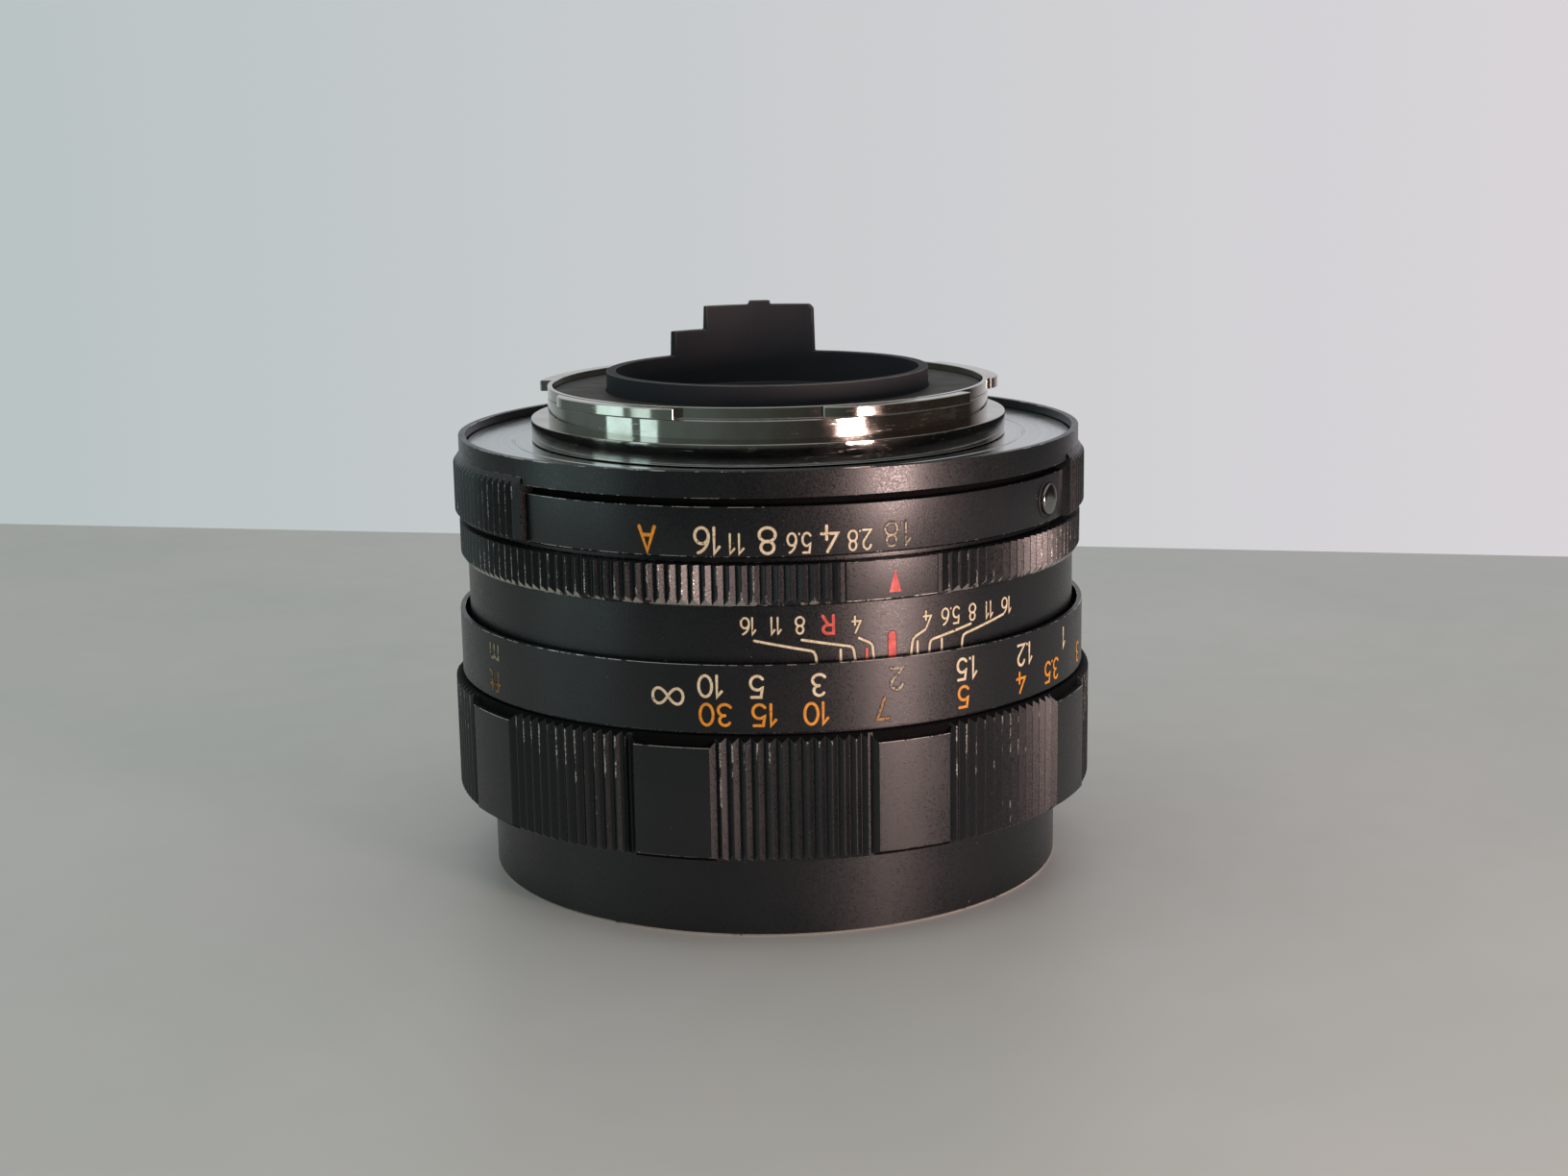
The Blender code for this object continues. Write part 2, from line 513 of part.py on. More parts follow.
SPACER_BORE_R = RIMS[4] - 0.8
SPACER_FOOT_Z = FACES[4][1][0][1] + sag(LENSES[4][3], SPACER_BORE_R) + FREE_GAP
add_object("rear_spacer", ring_mesh("rear_spacer", block_section(
    SPACER_BORE_R, RIMS[4], SPACER_FOOT_Z, FRONT_EDGE_Z[5] - FREE_GAP), INNER_STEPS),
    matt_black_mat)
add_object("rear_retainer", ring_mesh("rear_retainer", [
    (RIMS[5], REAR_EDGE_Z[5] + 0.55), (RIMS[5], CELL_END_Z), (RIMS[5] - 0.6, CELL_END_Z),
    (RIMS[5] - 1.0, REAR_EDGE_Z[5] + 0.55)], INNER_STEPS), matt_black_mat)

# ---- iris ----------------------------------------------------------------------------------

TAB_R = IRIS_R + 1.8
TAB_SPAN = 3.4
TAB_WINDOW_MARGIN = 6.0
FORK_R = (IRIS_R + 0.6, TUBE_BORE_R - 0.9)

iris_housing = add_object("iris_housing", ring_mesh("iris_housing", [
    (IRIS_R, IRIS_FRONT_Z), (IRIS_R, IRIS_REAR_Z), (IRIS_BORE_R, IRIS_REAR_Z),
    (IRIS_BORE_R, IRIS_FRONT_Z + IRIS_PLATE), (IRIS_OPEN_R, IRIS_FRONT_Z + IRIS_PLATE),
    (IRIS_OPEN_R, IRIS_FRONT_Z)], INNER_STEPS), black_mat)
cut(iris_housing, "tab_window", sector_mesh("tab_window", block_section(
    IRIS_BORE_R - 0.6, IRIS_R + CUT_MARGIN, DRIVE_Z - RUN_GAP, IRIS_REAR_Z + CUT_MARGIN),
    DRIVE_AZIMUTH - TAB_WINDOW_MARGIN, APERTURE_TURN + 2 * TAB_WINDOW_MARGIN))

iris_drive_ring = add_object("iris_drive_ring", ring_mesh("iris_drive_ring", block_section(
    BLADE_BORE_R + 0.7, IRIS_BORE_R - RUN_GAP, DRIVE_Z, DRIVE_Z + DRIVE_THICKNESS),
    INNER_STEPS), steel_mat)
join(iris_drive_ring, "drive_tab", sector_mesh("drive_tab", block_section(
    IRIS_BORE_R - 1.0, TAB_R, DRIVE_Z, DRIVE_Z + DRIVE_THICKNESS),
    DRIVE_AZIMUTH - TAB_SPAN / 2, TAB_SPAN, 2.0))

add_object("iris_cover", ring_mesh("iris_cover", block_section(
    BLADE_BORE_R + 0.9, IRIS_BORE_R - SEAT_GAP, COVER_Z, COVER_Z + COVER_THICKNESS),
    INNER_STEPS), black_mat)

# Each blade is a crescent that fills the housing's rim when open. It turns inwards on its own
# pivot, and lies in its own layer of the stack.
BLADE_ARC_STEPS = 9


def blade_outline(pivot_azimuth):
    def arc(radius, first, last):
        share = [i / BLADE_ARC_STEPS for i in range(BLADE_ARC_STEPS + 1)]
        return [(pivot_azimuth + first + (last - first) * s, radius) for s in share]

    return arc(BLADE_OUTER_R, -4.0, BLADE_SPAN - 5.0) + arc(BLADE_BORE_R, BLADE_SPAN, 3.0)


for index in range(BLADE_COUNT):
    pivot_azimuth = index * 360.0 / BLADE_COUNT
    floor = BLADE_FLOOR_Z + index * BLADE_PITCH
    bm = bmesh.new()
    corners = [bm.verts.new(at(azimuth, radius, floor))
               for azimuth, radius in blade_outline(pivot_azimuth)]
    face = bm.faces.new(corners)
    raised = bmesh.ops.extrude_face_region(bm, geom=[face])
    bmesh.ops.translate(bm, vec=(0, 0, BLADE_THICKNESS * MM),
                        verts=[v for v in raised["geom"] if isinstance(v, bmesh.types.BMVert)])
    add_object(f"iris_blade_{index + 1}", closed_mesh(f"iris_blade_{index + 1}", bm), blade_mat,
               pivot=at(pivot_azimuth, BLADE_PIVOT_R, floor))

# ---- aperture ring, lock button, cam ring --------------------------------------------------

RING_TAIL_Z = FIXED_GRIP_TOP_Z + 0.05
RING_TAIL_R = RING_BORE_R + 1.0
RING_BEVEL = 0.6
RING_GRIP_TOP_Z = RING_BOTTOM_Z + LABEL_LENGTH + 0.65
RING_SHOULDER_Z = WEB_TOP_Z
LABEL_TOP_Z = RING_BOTTOM_Z + LABEL_LENGTH
BUTTON_Z = RING_BOTTOM_Z + 2.36

aperture_ring = add_object("aperture_ring", ring_mesh("aperture_ring", [
    (RING_GRIP_R - RING_BEVEL, RING_BOTTOM_Z), (RING_GRIP_R, RING_BOTTOM_Z + RING_BEVEL),
    (RING_GRIP_R, RING_GRIP_TOP_Z), (BAND_R, RING_GRIP_TOP_Z + 0.85), (BAND_R, RING_TOP_Z),
    (LIP_BORE_R, RING_TOP_Z), (LIP_BORE_R, RING_SHOULDER_Z), (RING_BORE_R, RING_SHOULDER_Z),
    (RING_BORE_R, RING_TAIL_Z), (RING_TAIL_R, RING_TAIL_Z), (RING_TAIL_R, RING_BOTTOM_Z)]),
    black_mat)
cut(aperture_ring, "label_panel_cutter", sector_mesh("label_panel_cutter", block_section(
    LABEL_R, RING_GRIP_R + CUT_MARGIN, RING_BOTTOM_Z - 0.3, LABEL_TOP_Z), LABEL_START, LABEL_SPAN))
cut(aperture_ring, "label_groove_cutter", sector_mesh("label_groove_cutter", block_section(
    LABEL_R - GROOVE_DEPTH, RING_GRIP_R + CUT_MARGIN, LABEL_TOP_Z - 0.02,
    LABEL_TOP_Z + GROOVE_LENGTH), LABEL_START, LABEL_SPAN))
cut(aperture_ring, "button_bore", rod_mesh("button_bore", BUTTON_R + RUN_GAP,
                                           at(BUTTON_AZIMUTH, RING_BORE_R - 2 * CUT_MARGIN, BUTTON_Z),
                                           at(BUTTON_AZIMUTH, RING_GRIP_R + 2 * CUT_MARGIN, BUTTON_Z), 24))

BUTTON_ROOT_R = RING_BORE_R + BUTTON_TRAVEL + 0.4
BUTTON_RIM_R = LABEL_R + BUTTON_PROUD - 0.25
button = bmesh.new()
button_rings = [(BUTTON_R, BUTTON_ROOT_R), (BUTTON_R, BUTTON_RIM_R),
                (BUTTON_R * 0.8, BUTTON_RIM_R + 0.15), (0.0, LABEL_R + BUTTON_PROUD)]
points = [button.verts.new(Vector((radius, 0.0, height)) * MM)
          for radius, height in [(0.0, BUTTON_ROOT_R), *button_rings]]
outline = [button.edges.new(pair) for pair in zip(points, points[1:])]
bmesh.ops.spin(button, geom=outline, axis=(0, 0, 1), cent=(0, 0, 0), angle=math.tau, steps=20,
               use_merge=True)
outwards = at(BUTTON_AZIMUTH, 1.0, 0.0)
bmesh.ops.transform(button, verts=button.verts, matrix=Matrix.Translation((0, 0, BUTTON_Z * MM))
                    @ outwards.to_track_quat("Z", "Y").to_matrix().to_4x4())
add_object("lock_button", closed_mesh("lock_button", button), chrome_mat,
           pivot=at(BUTTON_AZIMUTH, BUTTON_ROOT_R, BUTTON_Z))

STRIP_THICKNESS = 0.12
add_object("lock_spring_strip", sector_mesh("lock_spring_strip", block_section(
    RING_BORE_R + 0.1, RING_BORE_R + 0.1 + STRIP_THICKNESS, BUTTON_Z - 0.6, BUTTON_Z + 0.6),
    BUTTON_AZIMUTH - 9.0, 18.0, 3.0), steel_mat)
cut(aperture_ring, "strip_pocket", sector_mesh("strip_pocket", block_section(
    RING_BORE_R - 1.0, RING_BORE_R + 0.4, BUTTON_Z - 0.85, BUTTON_Z + 0.85),
    BUTTON_AZIMUTH - 10.5, 21.0, 3.0))

CAM_R = CAM_BORE_R - RUN_GAP
CAM_WALL = 1.0
CAM_BOTTOM_Z = FIXED_GRIP_TOP_Z + 1.95
FORK_TOP_Z = WEB_BOTTOM_Z - RUN_GAP
ARM_THICKNESS = 0.8
FORK_SPAN = 11.0
FORK_SLOT_SPAN = TAB_SPAN + 1.2
FORK_BOTTOM_Z = DRIVE_Z - TRAVEL_TO_CLOSEST - 1.5
FORK_SLOT_TOP_Z = DRIVE_Z + DRIVE_THICKNESS + TRAVEL_TO_INFINITY + END_GAP
PIN_Z = FIXED_GRIP_TOP_Z + 2.95

aperture_cam_ring = add_object("aperture_cam_ring", ring_mesh("aperture_cam_ring", block_section(
    CAM_R - CAM_WALL, CAM_R, CAM_BOTTOM_Z, FORK_TOP_Z), INNER_STEPS), brass_mat)
join(aperture_cam_ring, "fork_arm", sector_mesh("fork_arm", [
    (CAM_R - CAM_WALL / 2, FORK_TOP_Z - ARM_THICKNESS), (CAM_R - CAM_WALL / 2, FORK_TOP_Z - 0.05),
    (FORK_R[0], FORK_TOP_Z - 0.05), (FORK_R[0], FORK_BOTTOM_Z), (FORK_R[1], FORK_BOTTOM_Z),
    (FORK_R[1], FORK_TOP_Z - ARM_THICKNESS)], DRIVE_AZIMUTH - FORK_SPAN / 2, FORK_SPAN, 2.75))
cut(aperture_cam_ring, "fork_slot", sector_mesh("fork_slot", block_section(
    FORK_R[0] - CUT_MARGIN, FORK_R[1] + CUT_MARGIN, FORK_BOTTOM_Z - CUT_MARGIN, FORK_SLOT_TOP_Z),
    DRIVE_AZIMUTH - FORK_SLOT_SPAN / 2, FORK_SLOT_SPAN, 2.0))

add_object("aperture_drive_pin", rod_mesh("aperture_drive_pin", DRIVE_PIN_R,
                                          at(DRIVE_AZIMUTH, CAM_R + 0.1, PIN_Z),
                                          at(DRIVE_AZIMUTH, RING_BORE_R - 0.1, PIN_Z)), steel_mat)
WINDOW_MARGIN = 3.0
cut(main_barrel, "drive_window", sector_mesh("drive_window", block_section(
    CAM_BORE_R - 0.5, JOURNAL_R + CUT_MARGIN, PIN_Z - DRIVE_PIN_R - RUN_GAP, PIN_Z + DRIVE_PIN_R + RUN_GAP),
    DRIVE_AZIMUTH - WINDOW_MARGIN, APERTURE_TURN + 2 * WINDOW_MARGIN))

# Click stop: a ball in the barrel's wall, pressed outwards by a leaf behind it
DETENT_AZIMUTH = 300.0
BALL_R = 0.65
BALL_Z = FIXED_GRIP_TOP_Z + 0.95
BALL_CENTRE_R = JOURNAL_R - BALL_R + 0.05
cut(main_barrel, "ball_bore", rod_mesh("ball_bore", BALL_R + 0.15,
                                       at(DETENT_AZIMUTH, CAM_BORE_R - CUT_MARGIN, BALL_Z),
                                       at(DETENT_AZIMUTH, JOURNAL_R + CUT_MARGIN, BALL_Z)))
ball = bmesh.new()
bmesh.ops.create_icosphere(ball, subdivisions=2, radius=BALL_R * MM,
                           matrix=Matrix.Translation(at(DETENT_AZIMUTH, BALL_CENTRE_R, BALL_Z)))
add_object("detent_ball", closed_mesh("detent_ball", ball), steel_mat)
add_object("detent_leaf", sector_mesh("detent_leaf", block_section(
    CAM_BORE_R - 0.22, CAM_BORE_R - 0.1, BALL_Z - 0.6, BALL_Z + 0.6),
    DETENT_AZIMUTH - 12.0, 24.0, 4.0), steel_mat)

# ---- rear plate, bayonet, baffles and lever ------------------------------------------------

PLATE_BORE_R = GUARD_R + 1.05
MOUNT_BOTTOM_Z = PLATE_TOP_Z + SEAT_GAP
MOUNT_BORE_R = WEB_BORE_R
MOUNT_LEDGE_Z = SEAT_Z - 0.3

rear_plate = add_object("rear_plate", ring_mesh("rear_plate", block_section(
    PLATE_BORE_R, LIP_BORE_R - RUN_GAP, PLATE_BOTTOM_Z, PLATE_TOP_Z)), plate_mat)

bayonet_mount = add_object("bayonet_mount", ring_mesh("bayonet_mount", [
    (SEAT_R, MOUNT_BOTTOM_Z), (SEAT_R, SEAT_Z), (BAYONET_R, SEAT_Z), (BAYONET_R, BAYONET_TOP_Z),
    (BAYONET_BORE_R, BAYONET_TOP_Z), (BAYONET_BORE_R, MOUNT_LEDGE_Z),
    (MOUNT_BORE_R, MOUNT_LEDGE_Z), (MOUNT_BORE_R, MOUNT_BOTTOM_Z)]), chrome_mat)
lugs = bmesh.new()
for start in LUG_STARTS:
    add_sector(lugs, block_section(BAYONET_R - 0.25, LUG_R, BAYONET_TOP_Z - LUG_THICKNESS,
                                   BAYONET_TOP_Z - 0.05), start, LUG_SPAN)
join(bayonet_mount, "lugs", closed_mesh("lugs", lugs))

SCREW_HEAD_HEIGHT = 0.7
for index, azimuth in enumerate(SCREW_AZIMUTHS, start=1):
    axis_low = at(azimuth, SCREW_CIRCLE_R, WEB_BOTTOM_Z + 0.2)
    head_low = at(azimuth, SCREW_CIRCLE_R, MOUNT_LEDGE_Z + SEAT_GAP)
    head_high = at(azimuth, SCREW_CIRCLE_R, MOUNT_LEDGE_Z + SEAT_GAP + SCREW_HEAD_HEIGHT)
    screw = add_object(f"mount_screw_{index}", rod_mesh(f"mount_screw_{index}", SCREW_SHANK_R,
                                                        axis_low, head_high), steel_mat)
    join(screw, f"screw_head_{index}", rod_mesh(f"screw_head_{index}", SCREW_HEAD_R,
                                                head_low, head_high + Vector((0, 0, 0.1 * MM))))
    for target in (main_barrel, rear_plate, bayonet_mount):
        hole = f"screw_hole_{index}_{target.name}"
        cut(target, hole, rod_mesh(hole, SCREW_SHANK_R + SEAT_GAP,
                                   axis_low - Vector((0, 0, 1.5 * MM)), head_low))

BAFFLE_TOP_Z = BAYONET_TOP_Z - BAFFLE_DROP
BAFFLE_BOTTOM_Z = BAFFLE_TOP_Z - BAFFLE_THICKNESS
LEVER_R = (GUARD_R + 0.45, GUARD_R + 1.15)
SLOT_MARGIN = 2.0

baffle_plate = add_object("baffle_plate", ring_mesh("baffle_plate", block_section(
    GUARD_R + SEAT_GAP, BAYONET_BORE_R - SEAT_GAP, BAFFLE_BOTTOM_Z, BAFFLE_TOP_Z)),
    matt_black_mat)
cut(baffle_plate, "lever_slot", sector_mesh("lever_slot", block_section(
    LEVER_R[0] - 0.15, LEVER_R[1] + 0.25, BAFFLE_BOTTOM_Z - CUT_MARGIN, BAFFLE_TOP_Z + CUT_MARGIN),
    LEVER_AZIMUTH - SLOT_MARGIN, LEVER_SPAN + LEVER_TURN + 2 * SLOT_MARGIN))

GUARD_TOP_Z = BAYONET_TOP_Z + GUARD_RING_RISE
GUARD_BORE_R = GUARD_R - GUARD_WALL
GUARD_FLANGE = 1.0
GUARD_FLANGE_R = MOUNT_BORE_R - 0.2
GUARD_BOTTOM_Z = PLATE_TOP_Z + SEAT_GAP

rear_baffle = add_object("rear_baffle", ring_mesh("rear_baffle", [
    (GUARD_FLANGE_R, GUARD_BOTTOM_Z), (GUARD_FLANGE_R, GUARD_BOTTOM_Z + GUARD_FLANGE),
    (GUARD_R, GUARD_BOTTOM_Z + GUARD_FLANGE), (GUARD_R, GUARD_TOP_Z), (GUARD_BORE_R, GUARD_TOP_Z),
    (GUARD_BORE_R, GUARD_BOTTOM_Z)], INNER_STEPS), matt_black_mat)
guard_walls = (
    # start, span, rise above the ring
    (GUARD_WALL_START, GUARD_WALL_SPAN, GUARD_WALL_RISE),
    (GUARD_WALL_START + GUARD_WALL_SPAN - 2.0, GUARD_STEP_SPAN + 2.0, GUARD_STEP_RISE),
    (GUARD_WALL_START + GUARD_WALL_SPAN * 0.4, GUARD_NOSE_SPAN, GUARD_WALL_RISE + GUARD_NOSE_RISE),
)
for index, (start, span, rise) in enumerate(guard_walls, start=1):
    join(rear_baffle, f"guard_wall_{index}", sector_mesh(f"guard_wall_{index}", block_section(
        GUARD_BORE_R + 0.05, GUARD_R - 0.05 * index, GUARD_TOP_Z - 1.0 - 0.2 * index,
        GUARD_TOP_Z + rise), start, span))

LEVER_RING_Z = GUARD_BOTTOM_Z + GUARD_FLANGE + RUN_GAP
LEVER_RING_THICKNESS = 0.6
stop_down_lever = add_object("stop_down_lever", ring_mesh("stop_down_lever", block_section(
    GUARD_R + RUN_GAP, GUARD_FLANGE_R - 0.3, LEVER_RING_Z, LEVER_RING_Z + LEVER_RING_THICKNESS),
    INNER_STEPS), steel_mat)
join(stop_down_lever, "lever_post", sector_mesh("lever_post", block_section(
    LEVER_R[0], LEVER_R[1], LEVER_RING_Z + 0.1, BAYONET_TOP_Z + LEVER_RISE),
    LEVER_AZIMUTH, LEVER_SPAN, 2.0))
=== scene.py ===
import math
import bmesh
import bpy
from mathutils import Matrix, Vector


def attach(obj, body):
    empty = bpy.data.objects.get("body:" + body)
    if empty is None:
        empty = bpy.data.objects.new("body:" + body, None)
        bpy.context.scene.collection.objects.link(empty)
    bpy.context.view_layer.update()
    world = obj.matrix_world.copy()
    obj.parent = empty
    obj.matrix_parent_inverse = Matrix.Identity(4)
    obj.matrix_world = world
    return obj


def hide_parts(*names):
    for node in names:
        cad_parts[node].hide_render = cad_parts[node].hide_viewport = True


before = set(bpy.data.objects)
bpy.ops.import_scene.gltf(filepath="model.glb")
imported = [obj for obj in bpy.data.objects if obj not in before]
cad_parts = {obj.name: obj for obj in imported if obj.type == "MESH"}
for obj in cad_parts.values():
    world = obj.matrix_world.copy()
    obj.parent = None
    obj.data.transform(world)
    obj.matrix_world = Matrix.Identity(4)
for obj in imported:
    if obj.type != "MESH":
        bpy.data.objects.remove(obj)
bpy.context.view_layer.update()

# Looks for a 50 mm f/1.8 bayonet lens that stands on its front rim. The optical axis is +Z,
# towards the camera the lens fits. Sizes are in millimetres and degrees. An azimuth runs from -Y,
# where the index line is, towards +X.

# ---- table and camera ----------------------------------------------------------------------
# A small matt white table, whose far edge passes just behind the lens. The view is turned a
# little to the left of the index line, from slightly above the mount.

MM = 0.001
VIEW_TURN = -21.1
EYE_DISTANCE = 231.28
EYE_HEIGHT = 74.79
EYE_ASIDE, EYE_DOWN, EYE_ROLL = -0.321, 11.763, -0.974
FOCAL_LENGTH = 53.565
SENSOR_WIDTH = 36.0
NEAREST_SEEN = 0.01
TABLE_LEFT, TABLE_RIGHT = -230.0, 280.0
TABLE_FRONT, TABLE_BACK = -125.0, 167.6
TABLE_TURN = -33.1
TABLE_THICKNESS = 18.0
TABLE_ROUNDING = 2.0


def at(azimuth, radius, height):
    """The point at an azimuth in degrees, and a radius and height in millimetres."""
    turn = math.radians(azimuth)
    return Vector((radius * math.sin(turn), -radius * math.cos(turn), height)) * MM


def colour(code):
    """An sRGB hex colour as linear red, green, blue and alpha."""
    parts = [int(code[i:i + 2], 16) / 255 for i in (1, 3, 5)]
    return (*(p / 12.92 if p < 0.04045 else ((p + 0.055) / 1.055) ** 2.4 for p in parts), 1.0)


def add_node(tree, kind, settings=None, **inputs):
    """Add a node, set its own settings, and give each named input a value or a link."""
    node = tree.nodes.new(kind)
    for name, value in (settings or {}).items():
        setattr(node, name, value)
    for name, value in inputs.items():
        place = int(name[1:]) if name[0] == "_" else name.replace("_", " ")
        socket = node.inputs[place]
        if isinstance(value, bpy.types.NodeSocket):
            tree.links.new(value, socket)
        else:
            socket.default_value = value
    return node


def new_material(name):
    material = bpy.data.materials.new(name)
    material.use_nodes = True
    tree = material.node_tree
    return material, tree, tree.nodes["Principled BSDF"]


def wire(tree, shader, **inputs):
    """Give the shader's named sockets a value or a link."""
    for name, value in inputs.items():
        socket = shader.inputs[name.replace("_", " ")]
        if isinstance(value, bpy.types.NodeSocket):
            tree.links.new(value, socket)
        else:
            socket.default_value = value


def noise(tree, place, grain, detail=2.0, roughness=0.5):
    """Noise whose lumps are about grain millimetres across."""
    return add_node(tree, "ShaderNodeTexNoise", Vector=place, Scale=1 / (grain * MM),
                    Detail=detail, Roughness=roughness).outputs["Fac"]


def ramp(tree, value, low, high, to_low=0.0, to_high=1.0):
    return add_node(tree, "ShaderNodeMapRange", {"clamp": True}, Value=value, _1=low, _2=high,
                    _3=to_low, _4=to_high).outputs["Result"]


def blend_colour(tree, share, first, second):
    mix = add_node(tree, "ShaderNodeMix", {"data_type": "RGBA"}, _0=share, _6=first, _7=second)
    return mix.outputs[2]


def relief(tree, height, depth):
    """A bump of depth millimetres."""
    return add_node(tree, "ShaderNodeBump", Height=height, Strength=1.0,
                    Distance=depth * MM).outputs["Normal"]


def object_place(tree):
    return add_node(tree, "ShaderNodeTexCoord").outputs["Object"]


# Painted board, matt with a faint mottle
table_paint, tree, shader = new_material("matt_painted_board")
place = object_place(tree)
mottle = noise(tree, place, 45.0, 3.0)
wire(tree, shader,
     Base_Color=blend_colour(tree, ramp(tree, mottle, 0.35, 0.65), colour("#c8c8c2"),
                             colour("#cecbc6")),
     Roughness=ramp(tree, noise(tree, place, 6.0), 0.3, 0.7, 0.42, 0.50),
     Normal=relief(tree, noise(tree, place, 0.9), 0.003))
slab = bmesh.new()
bmesh.ops.create_cube(slab, size=1.0)
bmesh.ops.scale(slab, vec=((TABLE_RIGHT - TABLE_LEFT) * MM, (TABLE_BACK - TABLE_FRONT) * MM,
                           TABLE_THICKNESS * MM), verts=slab.verts)
bmesh.ops.translate(slab, vec=((TABLE_RIGHT + TABLE_LEFT) / 2 * MM,
                               (TABLE_BACK + TABLE_FRONT) / 2 * MM,
                               -TABLE_THICKNESS / 2 * MM), verts=slab.verts)
bmesh.ops.rotate(slab, cent=(0, 0, 0), matrix=Matrix.Rotation(math.radians(TABLE_TURN), 3, "Z"),
                 verts=slab.verts)
bmesh.ops.bevel(slab, geom=slab.edges[:], offset=TABLE_ROUNDING * MM, segments=3, profile=0.5,
                material=-1, affect="EDGES")
table_mesh = bpy.data.meshes.new("table_top")
slab.to_mesh(table_mesh)
slab.free()
table_mesh.materials.append(table_paint)
table = bpy.data.objects.new("table_top", table_mesh)
bpy.context.scene.collection.objects.link(table)

camera_data = bpy.data.cameras.new("view")
camera_data.sensor_width = SENSOR_WIDTH
camera_data.lens = FOCAL_LENGTH
camera_data.clip_start = NEAREST_SEEN
camera = bpy.data.objects.new("view", camera_data)
bpy.context.scene.collection.objects.link(camera)
bpy.context.scene.camera = camera
camera.matrix_world = (Matrix.Translation(at(VIEW_TURN, EYE_DISTANCE, EYE_HEIGHT))
                       @ Matrix.Rotation(math.radians(VIEW_TURN + EYE_ASIDE), 4, "Z")
                       @ Matrix.Rotation(math.radians(90.0 - EYE_DOWN), 4, "X")
                       @ Matrix.Rotation(math.radians(EYE_ROLL), 4, "Z"))
bpy.context.scene.view_settings.view_transform = "Standard"

# ---- light ---------------------------------------------------------------------------------
# A pale wall behind the lens, a dim room in front of it, a two-pane window low on the left and a
# small warm lamp on the right.

LIGHTS = (
    # name, azimuth from the view, distance, width, bottom, top, radiance, colour
    ("window_near", -61.5, 360.0, 62.0, -60.0, 190.0, 1.7, "#d4f4f2"),
    ("window_far", -80.0, 360.0, 106.0, -60.0, 190.0, 1.7, "#d4f4f2"),
    ("warm_lamp", 41.5, 300.0, 60.0, -8.0, 66.0, 57.0, "#ffdcd4"),
)
for name, azimuth, distance, width, bottom, top, radiance, tint in LIGHTS:
    panel = bpy.data.lights.new(name, "AREA")
    panel.shape = "RECTANGLE"
    panel.size = width * MM
    panel.size_y = (top - bottom) * MM
    panel.color = colour(tint)[:3]
    panel.energy = radiance * math.pi * panel.size * panel.size_y
    lamp = bpy.data.objects.new(name, panel)
    lamp.location = at(VIEW_TURN + azimuth, distance, (bottom + top) / 2)
    lamp.rotation_euler = (math.radians(90.0), 0.0, math.radians(VIEW_TURN + azimuth))
    lamp.visible_camera = False
    bpy.context.scene.collection.objects.link(lamp)

world = bpy.data.worlds.new("room")
bpy.context.scene.world = world
world.use_nodes = True
tree = world.node_tree
tree.nodes.clear()
direction = add_node(tree, "ShaderNodeTexCoord").outputs["Generated"]


def along(vector):
    """How far the view direction lies along a vector, from -1 to 1."""
    return add_node(tree, "ShaderNodeVectorMath", {"operation": "DOT_PRODUCT"}, _0=direction,
                    _1=vector).outputs["Value"]


view_right = Matrix.Rotation(math.radians(VIEW_TURN), 3, "Z") @ Vector((1, 0, 0))
view_ahead = Matrix.Rotation(math.radians(VIEW_TURN), 3, "Z") @ Vector((0, 1, 0))
wall = blend_colour(tree, ramp(tree, along(view_right), -0.33, 0.33), colour("#b9c3c3"),
                    colour("#d9d5d9"))
room = blend_colour(tree, ramp(tree, along(view_right), -0.9, 0.6), colour("#66726e"),
                    colour("#352d29"))
around = blend_colour(tree, ramp(tree, along(view_ahead), 0.62, 0.93), room, wall)
above = blend_colour(tree, ramp(tree, along((0, 0, 1)), 0.25, 0.7), around, colour("#ccd0d1"))
sees = add_node(tree, "ShaderNodeLightPath").outputs["Is Camera Ray"]
lit = add_node(tree, "ShaderNodeBackground", Color=blend_colour(tree, sees, above, wall),
               Strength=1.0)
add_node(tree, "ShaderNodeOutputWorld", Surface=lit.outputs[0])

# ---- filter ring ---------------------------------------------------------------------------
# The front barrel, turned from aluminium, blasted and anodised a satin black. It has a filter
# thread inside, and its rim is worn to bare metal where the lens is stood down.

RING_COLUMNS = 720
COLUMN = 360.0 / RING_COLUMNS
EDGE_WIDTH = 0.05
SHARP = 14.0
CORNER = 28.0

FILTER_R = 28.5
FILTER_BORE_R = 27.4
THREAD_DEPTH = 0.36
THREAD_PITCH = 0.75
THREAD_TURNS = 5


def polar(point):
    """Azimuth in degrees, and radius and height in millimetres, of a point in metres."""
    azimuth = math.degrees(math.atan2(point.x, -point.y))
    return azimuth, math.hypot(point.x, point.y) / MM, point.z / MM


def new_shape():
    """An empty shape. Faces can be marked as worn or as painted with recess shade, and corners
    as lying on a crest.
    """
    bm = bmesh.new()
    bm.faces.layers.float.new("wear")
    bm.faces.layers.float.new("recess_shade")
    bm.verts.layers.float.new("crest")
    return bm


def turned(section, columns=RING_COLUMNS, start=0.0, closed=True):
    """A section of (radius, height) corners turned fully round the axis. A closed one goes back to
    its first corner, and the other kind starts and ends on the axis."""
    bm = new_shape()
    corners = [bm.verts.new(at(start, radius, height)) for radius, height in section]
    after = corners[1:] + corners[:1] if closed else corners[1:]
    edges = [bm.edges.new(pair) for pair in zip(corners, after)]
    bmesh.ops.spin(bm, geom=edges, axis=(0, 0, 1), cent=(0, 0, 0), angle=math.tau,
                   steps=columns, use_merge=True)
    tidy(bm)
    return bm


def tidy(bm):
    bmesh.ops.remove_doubles(bm, verts=bm.verts, dist=1e-7)
    bmesh.ops.recalc_face_normals(bm, faces=bm.faces)


